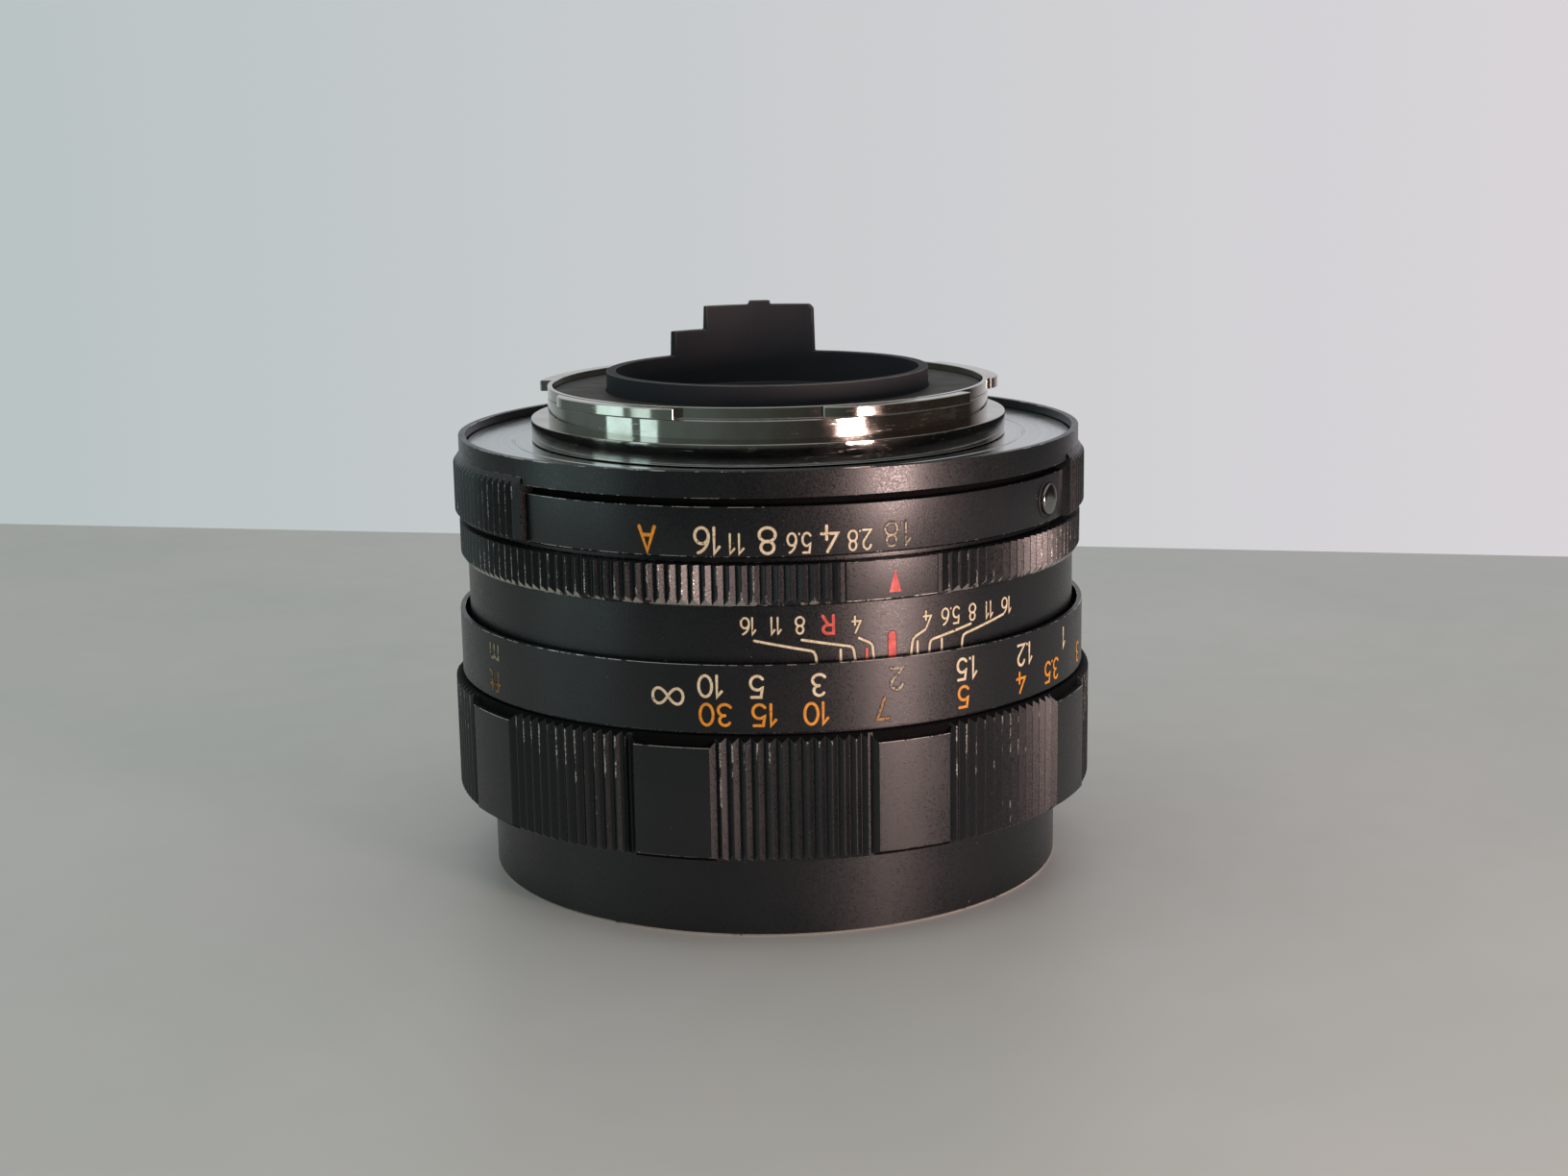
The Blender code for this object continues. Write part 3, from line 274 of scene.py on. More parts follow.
def mark(bm, faces, layer_name="wear", amount=1.0):
    """Mark faces whose finish is rubbed thin, or that lie in a recess and are painted with shade.
    """
    layer = bm.faces.layers.float[layer_name]
    for face in faces:
        face[layer] = amount


def round_edges(bm, width=EDGE_WIDTH, choose=None):
    """Break the sharp outer edges that run round the axis, and mark them as worn."""
    edges = []
    for edge in bm.edges:
        if len(edge.link_faces) != 2 or edge.calc_face_angle_signed(0.0) < math.radians(CORNER):
            continue
        ends = [polar(vert.co) for vert in edge.verts]
        level = abs(ends[0][2] - ends[1][2]) < 0.005 and abs(ends[0][1] - ends[1][1]) < 0.005
        if level and (choose is None or all(choose(*end) for end in ends)):
            edges.append(edge)
    made = bmesh.ops.bevel(bm, geom=edges, offset=width * MM, segments=2, profile=0.5,
                           material=-1, affect="EDGES", clamp_overlap=True)
    mark(bm, made["faces"])


def swept(bm, start, span, steps, inner, outer, low, high):
    """Sweep an upright rectangle round the axis from an azimuth, and give its first corners."""
    corners = [bm.verts.new(at(start, radius, height)) for radius, height in
               ((inner, low), (outer, low), (outer, high), (inner, high))]
    face = bm.faces.new(corners)
    bmesh.ops.spin(bm, geom=[face, *face.edges, *corners], axis=(0, 0, 1), cent=(0, 0, 0),
                   angle=math.radians(span), steps=steps)
    return corners


def soften(bm, edges, angle, width, segments, choose):
    """Bevel the edges sharper than an angle whose ends are chosen, and give the new faces."""
    rim = [edge for edge in edges
           if len(edge.link_faces) == 2 and edge.calc_face_angle_signed(0.0) > angle
           and all(choose(*polar(vert.co)) for vert in edge.verts)]
    return bmesh.ops.bevel(bm, geom=rim, offset=width * MM, segments=segments, profile=0.5,
                           material=-1, affect="EDGES")["faces"]


def piece(name, bm, material, body, nodes=(), sharp=SHARP):
    """Make the finished object, which rides on a body and stands for CAD nodes."""
    mesh = bpy.data.meshes.new(name)
    bm.to_mesh(mesh)
    bm.free()
    mesh.materials.append(material)
    mesh.shade_smooth()
    mesh.set_sharp_from_angle(angle=math.radians(sharp))
    thing = bpy.data.objects.new(name, mesh)
    bpy.context.scene.collection.objects.link(thing)
    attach(thing, body)
    if nodes:
        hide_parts(*nodes)
    return thing


def maths(tree, operation, first, second=0.0):
    return add_node(tree, "ShaderNodeMath", {"operation": operation}, _0=first,
                    _1=second).outputs[0]


def satin_black(name, shine=0.33, wear=0.5, rubbed_from=0.0, rubbed_to=1.0):
    """Black anodising over blasted aluminium: nearly black, with a broad soft highlight full of
    fine grain, silvery where an edge or a crest is rubbed through. Crests are rubbed most at the
    height rubbed_to, in millimetres. Faces marked as lying in a recess are painted near black,
    rougher and with little specular, as painted shade."""
    material, tree, shader = new_material(name)
    place = object_place(tree)
    grain = noise(tree, place, 0.17, 1.0)
    dust = ramp(tree, noise(tree, place, 0.40, 1.0), 0.80, 0.83)
    patch = noise(tree, place, 5.0, 3.0)
    edge = add_node(tree, "ShaderNodeAttribute", {"attribute_name": "wear"}).outputs["Fac"]
    recess_shade = add_node(tree, "ShaderNodeAttribute", {"attribute_name": "recess_shade"}).outputs["Fac"]
    crest = add_node(tree, "ShaderNodeAttribute", {"attribute_name": "crest"}).outputs["Fac"]
    region = ramp(tree, noise(tree, place, 15.0, 1.0), 0.35, 0.65, -0.09, 0.09)
    chips = maths(tree, "ADD", noise(tree, place, 1.3, 4.0, 0.7), region)
    chipped = ramp(tree, chips, 0.62 - 0.2 * wear, 0.66 - 0.2 * wear)
    long = add_node(tree, "ShaderNodeMapping", Vector=place, Scale=(1.0, 1.0, 0.26))
    streak = maths(tree, "ADD", noise(tree, long.outputs[0], 0.62, 3.0, 0.6), region)
    height = add_node(tree, "ShaderNodeSeparateXYZ", Vector=place).outputs["Z"]
    most = ramp(tree, height, rubbed_from * MM, rubbed_to * MM, -0.16, 0.10)
    along_crest = ramp(tree, maths(tree, "ADD", streak, most), 0.57, 0.62)
    jagged = ramp(tree, noise(tree, place, 0.13, 2.0), 0.3, 0.7, -0.14, 0.02)
    on_crest = ramp(tree, maths(tree, "ADD", crest, jagged), 0.90, 0.98)
    bare = maths(tree, "MAXIMUM", maths(tree, "MULTIPLY", edge, chipped),
                 maths(tree, "MULTIPLY", on_crest, along_crest))
    black = blend_colour(tree, ramp(tree, patch, 0.3, 0.7), colour("#090d11"), colour("#101114"))
    dusty = blend_colour(tree, maths(tree, "MULTIPLY", dust, 0.4), black, colour("#8f8b85"))
    # Painted shade: faces marked as lying in a recess are blended to near black, made rougher and
    # given little specular
    dust_and_shade = blend_colour(tree, recess_shade, dusty, colour("#050505"))
    fleck = ramp(tree, grain, 0.25, 0.75, -0.10, 0.10)
    smooth = maths(tree, "ADD", ramp(tree, patch, 0.3, 0.7, shine - 0.02, shine + 0.03), fleck)
    wire(tree, shader,
         Base_Color=blend_colour(tree, bare, dust_and_shade, colour("#c9c5be")),
         Metallic=bare,
         Roughness=maths(tree, "ADD", smooth, maths(tree, "MULTIPLY", recess_shade, 0.4)),
         Specular_IOR_Level=ramp(tree, recess_shade, 0.0, 1.0, 0.5, 0.08),
         Normal=relief(tree, grain, 0.007))
    return material


black_anodised = satin_black("black_anodised_aluminium", wear=0.35)
worn_anodised = satin_black("black_anodised_aluminium_worn_rim", wear=1.6)

thread = []
for turn in range(THREAD_TURNS):
    foot = 0.75 + turn * THREAD_PITCH
    thread += [(FILTER_BORE_R, foot + 0.08), (FILTER_BORE_R - THREAD_DEPTH, foot + 0.34),
               (FILTER_BORE_R - THREAD_DEPTH, foot + 0.42), (FILTER_BORE_R, foot + 0.68)]
filter_ring = turned([(28.3, 0.0), (FILTER_R, 0.2), (FILTER_R, 8.7), (24.2, 8.7), (24.2, 6.9),
                      (FILTER_BORE_R, 5.6), *thread[::-1], (FILTER_BORE_R, 0.3), (27.6, 0.0)], 360)
mark(filter_ring, [face for face in filter_ring.faces
                   if all(polar(vert.co)[2] < 0.25 for vert in face.verts)])
piece("front_barrel", filter_ring, worn_anodised, "optical_unit", ["filter_ring"])

# ---- focus ring ----------------------------------------------------------------------------
# Turned aluminium. Nine plain pads stand between bands of V-shaped flutes, and a thin skirt behind
# them carries the distance scale. The crests of the flutes are rubbed bright.

GRIP_CREST_R = 31.9
GRIP_ROOT_R = 31.52
SKIRT_R = 31.2
SKIRT_FOOT_Z = 19.97
PAD_R = 32.15
PAD_BACK_R = 31.0
PAD_COUNT = 9
PAD_PITCH = 360.0 / PAD_COUNT
PAD_CENTRE = 2.2
PAD_HALF = 6.4
PAD_FOOT = 7.6
PAD_STEPS = 19
PAD_LOW_Z, PAD_HIGH_Z = 8.6, 18.8
CREST_SHIFT = (-0.10, -0.40, -0.05, -0.45)


def flute_column(azimuth, phase):
    """Which of a flute's four columns an azimuth lies on, and where that column belongs."""
    index = round((azimuth - phase) / COLUMN)
    part = index % 4
    return part, phase + index * COLUMN + CREST_SHIFT[part]


def from_pad(azimuth, centre=PAD_CENTRE, pitch=PAD_PITCH):
    return (azimuth - centre + pitch / 2) % pitch - pitch / 2


focus = turned([(31.5, 8.15), (GRIP_CREST_R, 8.55), (GRIP_CREST_R, 19.25), (31.4, 19.75),
                (30.85, 19.75), (30.85, SKIRT_FOOT_Z), (SKIRT_R, SKIRT_FOOT_Z),
                (SKIRT_R, 26.2), (30.7, 26.2), (30.7, 16.6), (29.0, 16.6), (29.0, 8.9),
                (28.7, 8.9), (28.7, 8.15)], start=PAD_CENTRE)
crest_layer = focus.verts.layers.float["crest"]
for vert in focus.verts:
    azimuth, radius, height = polar(vert.co)
    if radius < 31.8:
        continue
    part, moved = flute_column(azimuth, PAD_CENTRE)
    root = part > 1 or abs(from_pad(azimuth)) < PAD_FOOT
    if root:
        deep = GRIP_CREST_R - GRIP_ROOT_R
        height = height + deep if height > 15 else height - deep * 0.95
    else:
        vert[crest_layer] = 1.0
    vert.co = at(moved, GRIP_ROOT_R if root else GRIP_CREST_R, height)
round_edges(focus, EDGE_WIDTH, lambda azimuth, radius, height: height > 19.9)
# Painted shade: the groove between the grip and the skirt, and the flute roots under the pads, are
# marked to be painted near black
mark(focus, [face for face in focus.faces
             if all(19.2 < polar(vert.co)[2] < SKIRT_FOOT_Z - 0.002 for vert in face.verts)
             or all(abs(from_pad(polar(vert.co)[0])) < PAD_FOOT - 0.1
                    and 31.45 < polar(vert.co)[1] < 31.6 for vert in face.verts)], "recess_shade")
for index in range(PAD_COUNT):
    centre = PAD_CENTRE + index * PAD_PITCH
    verts = set(swept(focus, centre - PAD_FOOT, 2 * PAD_FOOT, PAD_STEPS, PAD_BACK_R, PAD_R,
                      PAD_LOW_Z, PAD_HIGH_Z))
    grown = True
    while grown:
        near = {edge.other_vert(vert) for vert in verts for edge in vert.link_edges} - verts
        verts |= near
        grown = bool(near)
    for vert in verts:
        azimuth, radius, height = polar(vert.co)
        aside = from_pad(azimuth)
        if abs(aside) > PAD_FOOT - 0.4:
            radius -= 0.67 if radius > 32 else 0.0
            height += 0.75 if height > 15 else -0.3
        elif abs(aside) > PAD_FOOT - 1.2:
            aside = math.copysign(PAD_HALF, aside)
        vert.co = at(centre + aside, radius, height)
    faces = {face for vert in verts for face in vert.link_faces}
    bmesh.ops.recalc_face_normals(focus, faces=list(faces))
    edges = {edge for vert in verts for edge in vert.link_edges}
    made = soften(focus, edges, 0.4, EDGE_WIDTH, 2, lambda azimuth, radius, height: radius > 32.0)
    heights = {face: [polar(vert.co)[2] for vert in face.verts] for face in made}
    mark(focus, [face for face in made if min(heights[face]) > PAD_HIGH_Z - 0.1])
    mark(focus, [face for face in made if max(heights[face]) < PAD_HIGH_Z - 0.1], amount=0.25)
grip_black = satin_black("black_anodised_aluminium_handled", wear=0.6, rubbed_from=13.0,
                         rubbed_to=19.2)
piece("focus_grip", focus, grip_black, "focus_ring", ["focus_ring"])

# ---- depth scale barrel --------------------------------------------------------------------
# The fixed barrel the focus ring's skirt slides over, with the depth scale cut into it.

DEPTH_R = 30.2
depth = turned([(DEPTH_R, 18.5), (DEPTH_R, 31.3), (29.4, 31.3), (29.4, 34.95), (28.5, 34.95),
                (28.5, 33.1), (27.3, 33.1), (27.3, 31.2), (29.2, 31.2), (29.2, 18.5)], 360)
round_edges(depth)
piece("depth_barrel", depth, black_anodised, "barrel", ["depth_scale_barrel"])

# ---- fixed grip ring -----------------------------------------------------------------------
# A narrow fluted ring to hold the lens by as it is mounted, with a plain panel for the index. The
# front ends of its teeth are rubbed to bright aluminium.

FIXED_CREST_R = 30.9
FIXED_ROOT_R = 30.55
PANEL_R = 30.62
PANEL_MID = -0.25
PANEL_HALF = 8.5
TOOTH_TIP = 0.38
TOOTH_TIP_LENGTH = 0.58

fixed = turned([(FIXED_CREST_R - TOOTH_TIP, 31.4), (FIXED_CREST_R, 31.4 + TOOTH_TIP_LENGTH),
                (FIXED_CREST_R, 35.05), (29.5, 35.05), (29.5, 31.4)])
crest_layer = fixed.verts.layers.float["crest"]
for vert in fixed.verts:
    azimuth, radius, height = polar(vert.co)
    if radius < 30.0:
        continue
    low = height < 32.5
    part, moved = flute_column(azimuth, 0.0)
    off = abs(azimuth - PANEL_MID) - PANEL_HALF
    if off < 0:
        if radius < 30.6:
            vert.co = at(azimuth, PANEL_R - 0.1, 31.42)
        else:
            vert.co = at(azimuth, PANEL_R, 31.5 if low else height)
    elif radius > 30.6:
        if off < 0.75:
            moved = PANEL_MID + math.copysign(PANEL_HALF + (0.06 if off < COLUMN else off),
                                              azimuth - PANEL_MID)
            part = 2
        deep = FIXED_CREST_R - FIXED_ROOT_R
        if part > 1:
            vert.co = at(moved, FIXED_ROOT_R,
                         height - deep * TOOTH_TIP_LENGTH / TOOTH_TIP if low else height)
        else:
            vert[crest_layer] = 1.0
            vert.co = at(moved, FIXED_CREST_R, height)
bright_ends = []
for face in fixed.faces:
    ends = [polar(vert.co) for vert in face.verts]
    if max(e[2] for e in ends) < 32.1 and min(e[1] for e in ends) > 30.2 \
            and max(e[1] for e in ends) > FIXED_ROOT_R - 0.02 \
            and min(abs(e[0] - PANEL_MID) for e in ends) > PANEL_HALF + 0.1:
        bright_ends.append(face)
mark(fixed, bright_ends)
round_edges(fixed, EDGE_WIDTH,
            lambda azimuth, radius, height: abs(azimuth - PANEL_MID) < PANEL_HALF)
piece("fixed_grip", fixed,
      satin_black("black_anodised_aluminium_worn_teeth", wear=0.85, rubbed_from=39.0,
                  rubbed_to=31.0),
      "barrel", ["fixed_grip_ring"])

# ---- aperture ring -------------------------------------------------------------------------
# The aperture ring clicks from stop to stop. Its label panel and the groove behind it are turned
# below the flutes, and a plain band closes the barrel round the rear plate.

RING_CREST_R = 31.3
RING_ROOT_R = 30.95
LABEL_R = 30.3
LABEL_START = -68.5
LABEL_END = 46.4
GROOVE_R = 29.35
BAND_R = 30.7
APERTURE_BODY = "aperture_ring"

# For each corner of the label's section, where it lies on a crest and on a root of the flutes
FLUTED = {
    (30.15, 35.6): ((30.75, 35.6), (30.73, 35.6)),
    (LABEL_R, 35.75): ((RING_CREST_R, 36.15), (RING_ROOT_R, 35.8)),
    (LABEL_R, 40.2): ((RING_CREST_R, 40.8), (RING_ROOT_R, 41.3)),
    (GROOVE_R, 40.25): ((31.1, 41.08), (30.9, 41.37)),
    (GROOVE_R, 40.95): ((30.9, 41.36), (30.8, 41.51)),
    (BAND_R, 41.0): ((BAND_R, 41.66), (BAND_R, 41.66)),
}
section = [*FLUTED, (BAND_R, 43.4), (30.03, 43.4), (30.03, 41.97), (28.62, 41.97), (28.62, 35.1),
           (29.55, 35.1), (29.55, 35.6)]
aperture = turned(section)
crest_layer = aperture.verts.layers.float["crest"]
for vert in aperture.verts:
    azimuth, radius, height = polar(vert.co)
    inside = LABEL_START <= azimuth <= LABEL_END
    corner = next((key for key in FLUTED
                   if abs(key[0] - radius) < 0.01 and abs(key[1] - height) < 0.01), None)
    if corner is None or inside:
        continue
    part, moved = flute_column(azimuth, 0.0)
    off = max(LABEL_START - azimuth, azimuth - LABEL_END)
    if off < COLUMN:
        moved = LABEL_START - 0.02 if azimuth < 0 else LABEL_END + 0.02
        part = 3
    crest, root = FLUTED[corner]
    vert.co = at(moved, *(root if part > 1 else crest))
    if part < 2 and corner[0] == LABEL_R:
        vert[crest_layer] = 1.0
round_edges(aperture, EDGE_WIDTH)
# Painted shade: the groove behind the label panel is marked to be painted near black
mark(aperture, [face for face in aperture.faces
                if all(polar(vert.co)[1] < 29.6 and 40 < polar(vert.co)[2] < 41.2
                       for vert in face.verts)], "recess_shade")
aperture_black = satin_black("black_anodised_aluminium_ring", wear=0.25, rubbed_from=34.0,
                             rubbed_to=50.0)
piece("aperture_grip", aperture, aperture_black, APERTURE_BODY, ["aperture_ring"])

# ---- lock button ---------------------------------------------------------------------------
# A domed steel button in a bushed hole of the label panel, pressed to leave the automatic
# setting. It is nickel plated and lightly scratched.

BUTTON_AZIMUTH = 38.2
BUTTON_Z = 37.96
BUTTON_R = 1.5
BUTTON_COLUMNS = 64
DOME_SHARP = 50.0


def plated(name, tone, shine, tint=None, streak=0.35):
    """Bright plating over turned brass: a mirror, broken by hair scratches along the turning and
    by faint handling haze."""
    material, tree, shader = new_material(name)
    place = object_place(tree)
    long = add_node(tree, "ShaderNodeMapping", Vector=place, Scale=(0.05, 0.05, 1.0))
    lines = noise(tree, long.outputs[0], 0.045, 2.0, 0.7)
    scuffs = ramp(tree, noise(tree, long.outputs[0], 0.16, 5.0, 0.8), 0.60, 0.72)
    haze = noise(tree, place, 3.0, 4.0)
    rubbed = add_node(tree, "ShaderNodeAttribute", {"attribute_name": "wear"}).outputs["Fac"]
    rough = maths(tree, "ADD", ramp(tree, haze, 0.35, 0.7, shine, shine + 0.10),
                  maths(tree, "MULTIPLY", scuffs, streak))
    wire(tree, shader,
         Base_Color=blend_colour(tree, ramp(tree, haze, 0.4, 0.75), colour(tone),
                                 colour(tint or tone)),
         Metallic=1.0,
         Roughness=maths(tree, "ADD", rough, maths(tree, "MULTIPLY", rubbed, 0.12)),
         Normal=relief(tree, lines, 0.0009))
    return material


button_plating = plated("nickel_plated_button", "#8f8f8c", 0.10)
button = turned([(0.0, 29.5), (BUTTON_R, 29.5), (BUTTON_R, 30.50), (1.48, 30.59), (1.42, 30.66),
                 (1.33, 30.71), (1.2, 30.74), (0.8, 30.77), (0.4, 30.783), (0.0, 30.785)],
                BUTTON_COLUMNS, 90.0, closed=False)
outwards = at(BUTTON_AZIMUTH, 1.0, 0.0).to_track_quat("Z", "Y").to_matrix().to_4x4()
button_place = Matrix.Translation((0, 0, BUTTON_Z * MM)) @ outwards
bmesh.ops.transform(button, verts=button.verts, matrix=button_place)
piece("lock_button_cap", button, button_plating, "lock_button", ["lock_button"],
      DOME_SHARP)

bush = turned([(1.62, 29.9), (1.92, 29.9), (1.92, 30.32), (1.86, 30.36), (1.68, 30.36),
               (1.62, 30.30)], BUTTON_COLUMNS, 90.0)
bmesh.ops.transform(bush, verts=bush.verts, matrix=button_place)
matt_black, tree, shader = new_material("matt_black_lacquer")
place = object_place(tree)
# Matt black lacquer: flat and slightly uneven, a shade lighter where it is rubbed
rub = ramp(tree, noise(tree, place, 4.0, 4.0), 0.35, 0.75)
wire(tree, shader,
     Base_Color=blend_colour(tree, rub, colour("#121315"), colour("#1c1c1e")),
     Roughness=ramp(tree, noise(tree, place, 0.5, 3.0), 0.3, 0.7, 0.52, 0.66),
     Normal=relief(tree, noise(tree, place, 0.14), 0.004))
piece("button_bush", bush, matt_black, APERTURE_BODY, ())

# ---- rear plate ----------------------------------------------------------------------------
# A flat aluminium plate round the mount, with fine turning marks under a pale satin anodising. A
# shallow line is turned into it near the mount.

PLATE_TOP_Z = 42.55
plate = turned([(29.83, 42.05), (29.83, PLATE_TOP_Z), (25.45, PLATE_TOP_Z), (25.37, 42.48),
                (25.23, 42.48), (25.15, PLATE_TOP_Z), (17.0, PLATE_TOP_Z), (17.0, 42.05)], 360)


def turned_metal(name, tone, second, shine, pitch, depth, spread=0.08):
    """Lathe-turned metal: rings of fine tool marks that draw the highlight out sideways."""
    material, tree, shader = new_material(name)
    place = object_place(tree)
    flat = add_node(tree, "ShaderNodeVectorMath", {"operation": "MULTIPLY"}, _0=place,
                    _1=(1.0, 1.0, 0.0))
    reach = add_node(tree, "ShaderNodeVectorMath", {"operation": "LENGTH"}, _0=flat.outputs[0])
    height = add_node(tree, "ShaderNodeSeparateXYZ", Vector=place).outputs["Z"]
    across = add_node(tree, "ShaderNodeCombineXYZ", X=reach.outputs["Value"], Z=height)
    marks = noise(tree, across.outputs[0], pitch, 2.0, 0.6)
    stain = noise(tree, place, 4.0, 3.0)
    wire(tree, shader,
         Base_Color=blend_colour(tree, ramp(tree, stain, 0.35, 0.7), colour(tone),
                                 colour(second)),
         Metallic=1.0,
         Roughness=maths(tree, "ADD", ramp(tree, stain, 0.3, 0.7, shine, shine + spread),
                         ramp(tree, marks, 0.3, 0.7, -0.04, 0.04)),
         Normal=relief(tree, marks, depth))
    return material


piece("rear_plate_face", plate, turned_metal("satin_anodised_aluminium", "#c3c8ce", "#cfd0d2",
                                             0.17, 0.12, 0.0004, 0.05), "barrel",
      ["rear_plate"])

# ---- bayonet mount -------------------------------------------------------------------------
# Chromed brass. The seat is a polished ring, and four lugs stand out at the top of the bayonet
# tube. Their lower edges are scuffed where they slide behind the camera's flange.

SEAT_R = 23.5
SEAT_Z = 44.7
TUBE_R = 21.8
TUBE_BORE_R = 21.3
TUBE_TOP_Z = 47.85
LUG_R = 23.05
LUG_BACK_R = 21.6
LUG_FOOT_Z, LUG_TOP_Z = 46.75, 47.8
LUG_STARTS = (-86.0, -8.0, 64.0, 199.0)
LUG_SPAN = 43.0
LUG_STEPS = 86
LUG_TAPER = 9.0
LUG_LEAD = 0.85
LUG_ROUNDING = 0.12

chrome = plated("chromed_brass", "#bdb9b3", 0.04, "#aaa398")
mount = turned([(SEAT_R, 42.65), (SEAT_R, SEAT_Z), (TUBE_R, SEAT_Z), (TUBE_R, 46.6),
                (TUBE_R - 0.06, 46.64), (TUBE_R - 0.06, 46.72), (TUBE_R, 46.76),
                (TUBE_R, TUBE_TOP_Z), (TUBE_BORE_R, TUBE_TOP_Z), (TUBE_BORE_R, 44.4),
                (19.4, 44.4), (19.4, 42.65)], 360)
round_edges(mount, 0.07)
piece("bayonet_tube", mount, chrome, "barrel", ["bayonet_mount"])

for number, start in enumerate(LUG_STARTS, 1):
    lug = new_shape()
    swept(lug, start, LUG_SPAN, LUG_STEPS, LUG_BACK_R, LUG_R, LUG_FOOT_Z, LUG_TOP_Z)
    tidy(lug)
    for vert in lug.verts:
        azimuth, radius, height = polar(vert.co)
        along_lug = (azimuth - start) % 360.0
        lead = max(0.0, 1.0 - along_lug / LUG_TAPER) if along_lug < 180 else 0.0
        if radius > 22.5:
            vert.co = at(azimuth, LUG_R - LUG_LEAD * lead ** 2, height)
    mark(lug, soften(lug, lug.edges, 1.0, LUG_ROUNDING, 3,
                     lambda azimuth, radius, height: radius > LUG_BACK_R + 0.1))
    piece(f"bayonet_lug_{number}", lug, chrome, "barrel", ())

# ---- baffle plate --------------------------------------------------------------------------
# A thin pressed plate inside the bayonet, sprayed a dull olive black against stray light. The
# stop-down lever comes up through its curved slot.

SLOT_START = 188.0
SLOT_SPAN = 27.0
olive_black, tree, shader = new_material("dull_olive_black_lacquer")
place = object_place(tree)
cloud = noise(tree, place, 2.5, 4.0)
# Thin lacquer on brass: dull, brownish, with brighter rubbed patches
wire(tree, shader,
     Base_Color=blend_colour(tree, ramp(tree, cloud, 0.35, 0.7), colour("#2b2a24"),
                             colour("#3a372e")),
     Roughness=ramp(tree, cloud, 0.3, 0.7, 0.52, 0.66), Specular_IOR_Level=0.3,
     Normal=relief(tree, noise(tree, place, 0.2, 2.0), 0.004))
baffle = bmesh.new()
for inner, outer, start, span in ((16.05, 21.2, SLOT_START + SLOT_SPAN, 360.0 - SLOT_SPAN),
                                  (17.5, 21.2, SLOT_START, SLOT_SPAN)):
    swept(baffle, start, span, round(span / 1.5), inner, outer, 46.6, 47.2)
bmesh.ops.recalc_face_normals(baffle, faces=baffle.faces)
piece("baffle_face", baffle, olive_black, "barrel", ["baffle_plate"])

# ---- rear baffle and guard -----------------------------------------------------------------
# A matt black tube round the rear glass. One side of it stands up as a wall that keeps the lever
# and the glass from being knocked.

GUARD_R = 15.95
GUARD_BORE_R = 15.05
GUARD_TOP_Z = 49.1
WALL_STEPS = (
    # azimuth where the height starts, and the height
    (140.4, 54.0), (157.6, 54.4), (165.6, 54.0), (183.4, 51.6), (197.8, GUARD_TOP_Z),
)
STEP_LEAN = 0.03
WALL_START = WALL_STEPS[0][0]
CORNER_REACH, CORNER_DROP = 1.6, 0.45
guard = turned([(19.2, 42.65), (19.2, 43.65), (GUARD_R, 43.65), (GUARD_R, 48.4),
                (GUARD_R, GUARD_TOP_Z), (GUARD_BORE_R, GUARD_TOP_Z), (GUARD_BORE_R, 48.4),
                (GUARD_BORE_R, 42.65)])
for vert in guard.verts:
    azimuth, radius, height = polar(vert.co)
    if height < GUARD_TOP_Z - 0.05:
        continue
    turn = azimuth % 360.0
    high = next((top for start, top in WALL_STEPS[::-1] if turn >= start), GUARD_TOP_Z)
    turn = next((start for start, _ in WALL_STEPS if 0 <= turn - start < COLUMN), turn)
    turn = next((start - STEP_LEAN for start, _ in WALL_STEPS if 0 < start - turn <= COLUMN), turn)
    corner = abs(turn - WALL_START)
    if high > 53.9 and corner < CORNER_REACH:
        high -= CORNER_DROP * (1 - corner / CORNER_REACH)
    vert.co = at(turn, radius, high)
mark(guard, soften(guard, guard.edges, math.radians(40.0), EDGE_WIDTH, 2,
                   lambda azimuth, radius, height: height > 48.6))
guard_black, tree, shader = new_material("matt_black_lacquer_rubbed_rim")
place = object_place(tree)
rubbed = add_node(tree, "ShaderNodeAttribute", {"attribute_name": "wear"}).outputs["Fac"]
cloud = noise(tree, place, 3.0, 4.0)
# Matt black lacquer whose rim has gone grey with handling
wire(tree, shader,
     Base_Color=blend_colour(tree, maths(tree, "MULTIPLY", rubbed,
                                         ramp(tree, cloud, 0.35, 0.6, 0.35, 1.0)),
                             blend_colour(tree, ramp(tree, cloud, 0.3, 0.7), colour("#2a2c31"),
                                          colour("#2f3034")), colour("#716d66")),
     Roughness=ramp(tree, cloud, 0.3, 0.7, 0.62, 0.72), Specular_IOR_Level=0.22,
     Normal=relief(tree, noise(tree, place, 0.16), 0.005))
piece("rear_guard", guard, guard_black, "barrel", ["rear_baffle"])

# ---- stop-down lever -----------------------------------------------------------------------
# A pressed steel ring that turns round the baffle tube, with a post that the camera pushes to
# close the iris.

POST_START, POST_SPAN = 190.0, 5.0
POST_TOP_Z = 50.45
lever = turned([(18.9, 43.85), (18.9, 44.45), (16.15, 44.45), (16.15, 43.85)], 240)
swept(lever, POST_START, POST_SPAN, 6, 16.4, 17.1, 44.0, POST_TOP_Z)
bmesh.ops.recalc_face_normals(lever, faces=lever.faces)
soften(lever, lever.edges, 1.0, 0.12, 3, lambda azimuth, radius, height: height > POST_TOP_Z - 0.05)
steel = turned_metal("ground_steel", "#8d8f90", "#9a9894", 0.26, 0.10, 0.001)
piece("stop_down_ring", lever, steel, "stop_down_lever", ["stop_down_lever"])

# ---- glass ---------------------------------------------------------------------------------
# Six polished elements in two groups. Their surfaces carry a single coating, which gives the
# reflections a faint amber and violet.

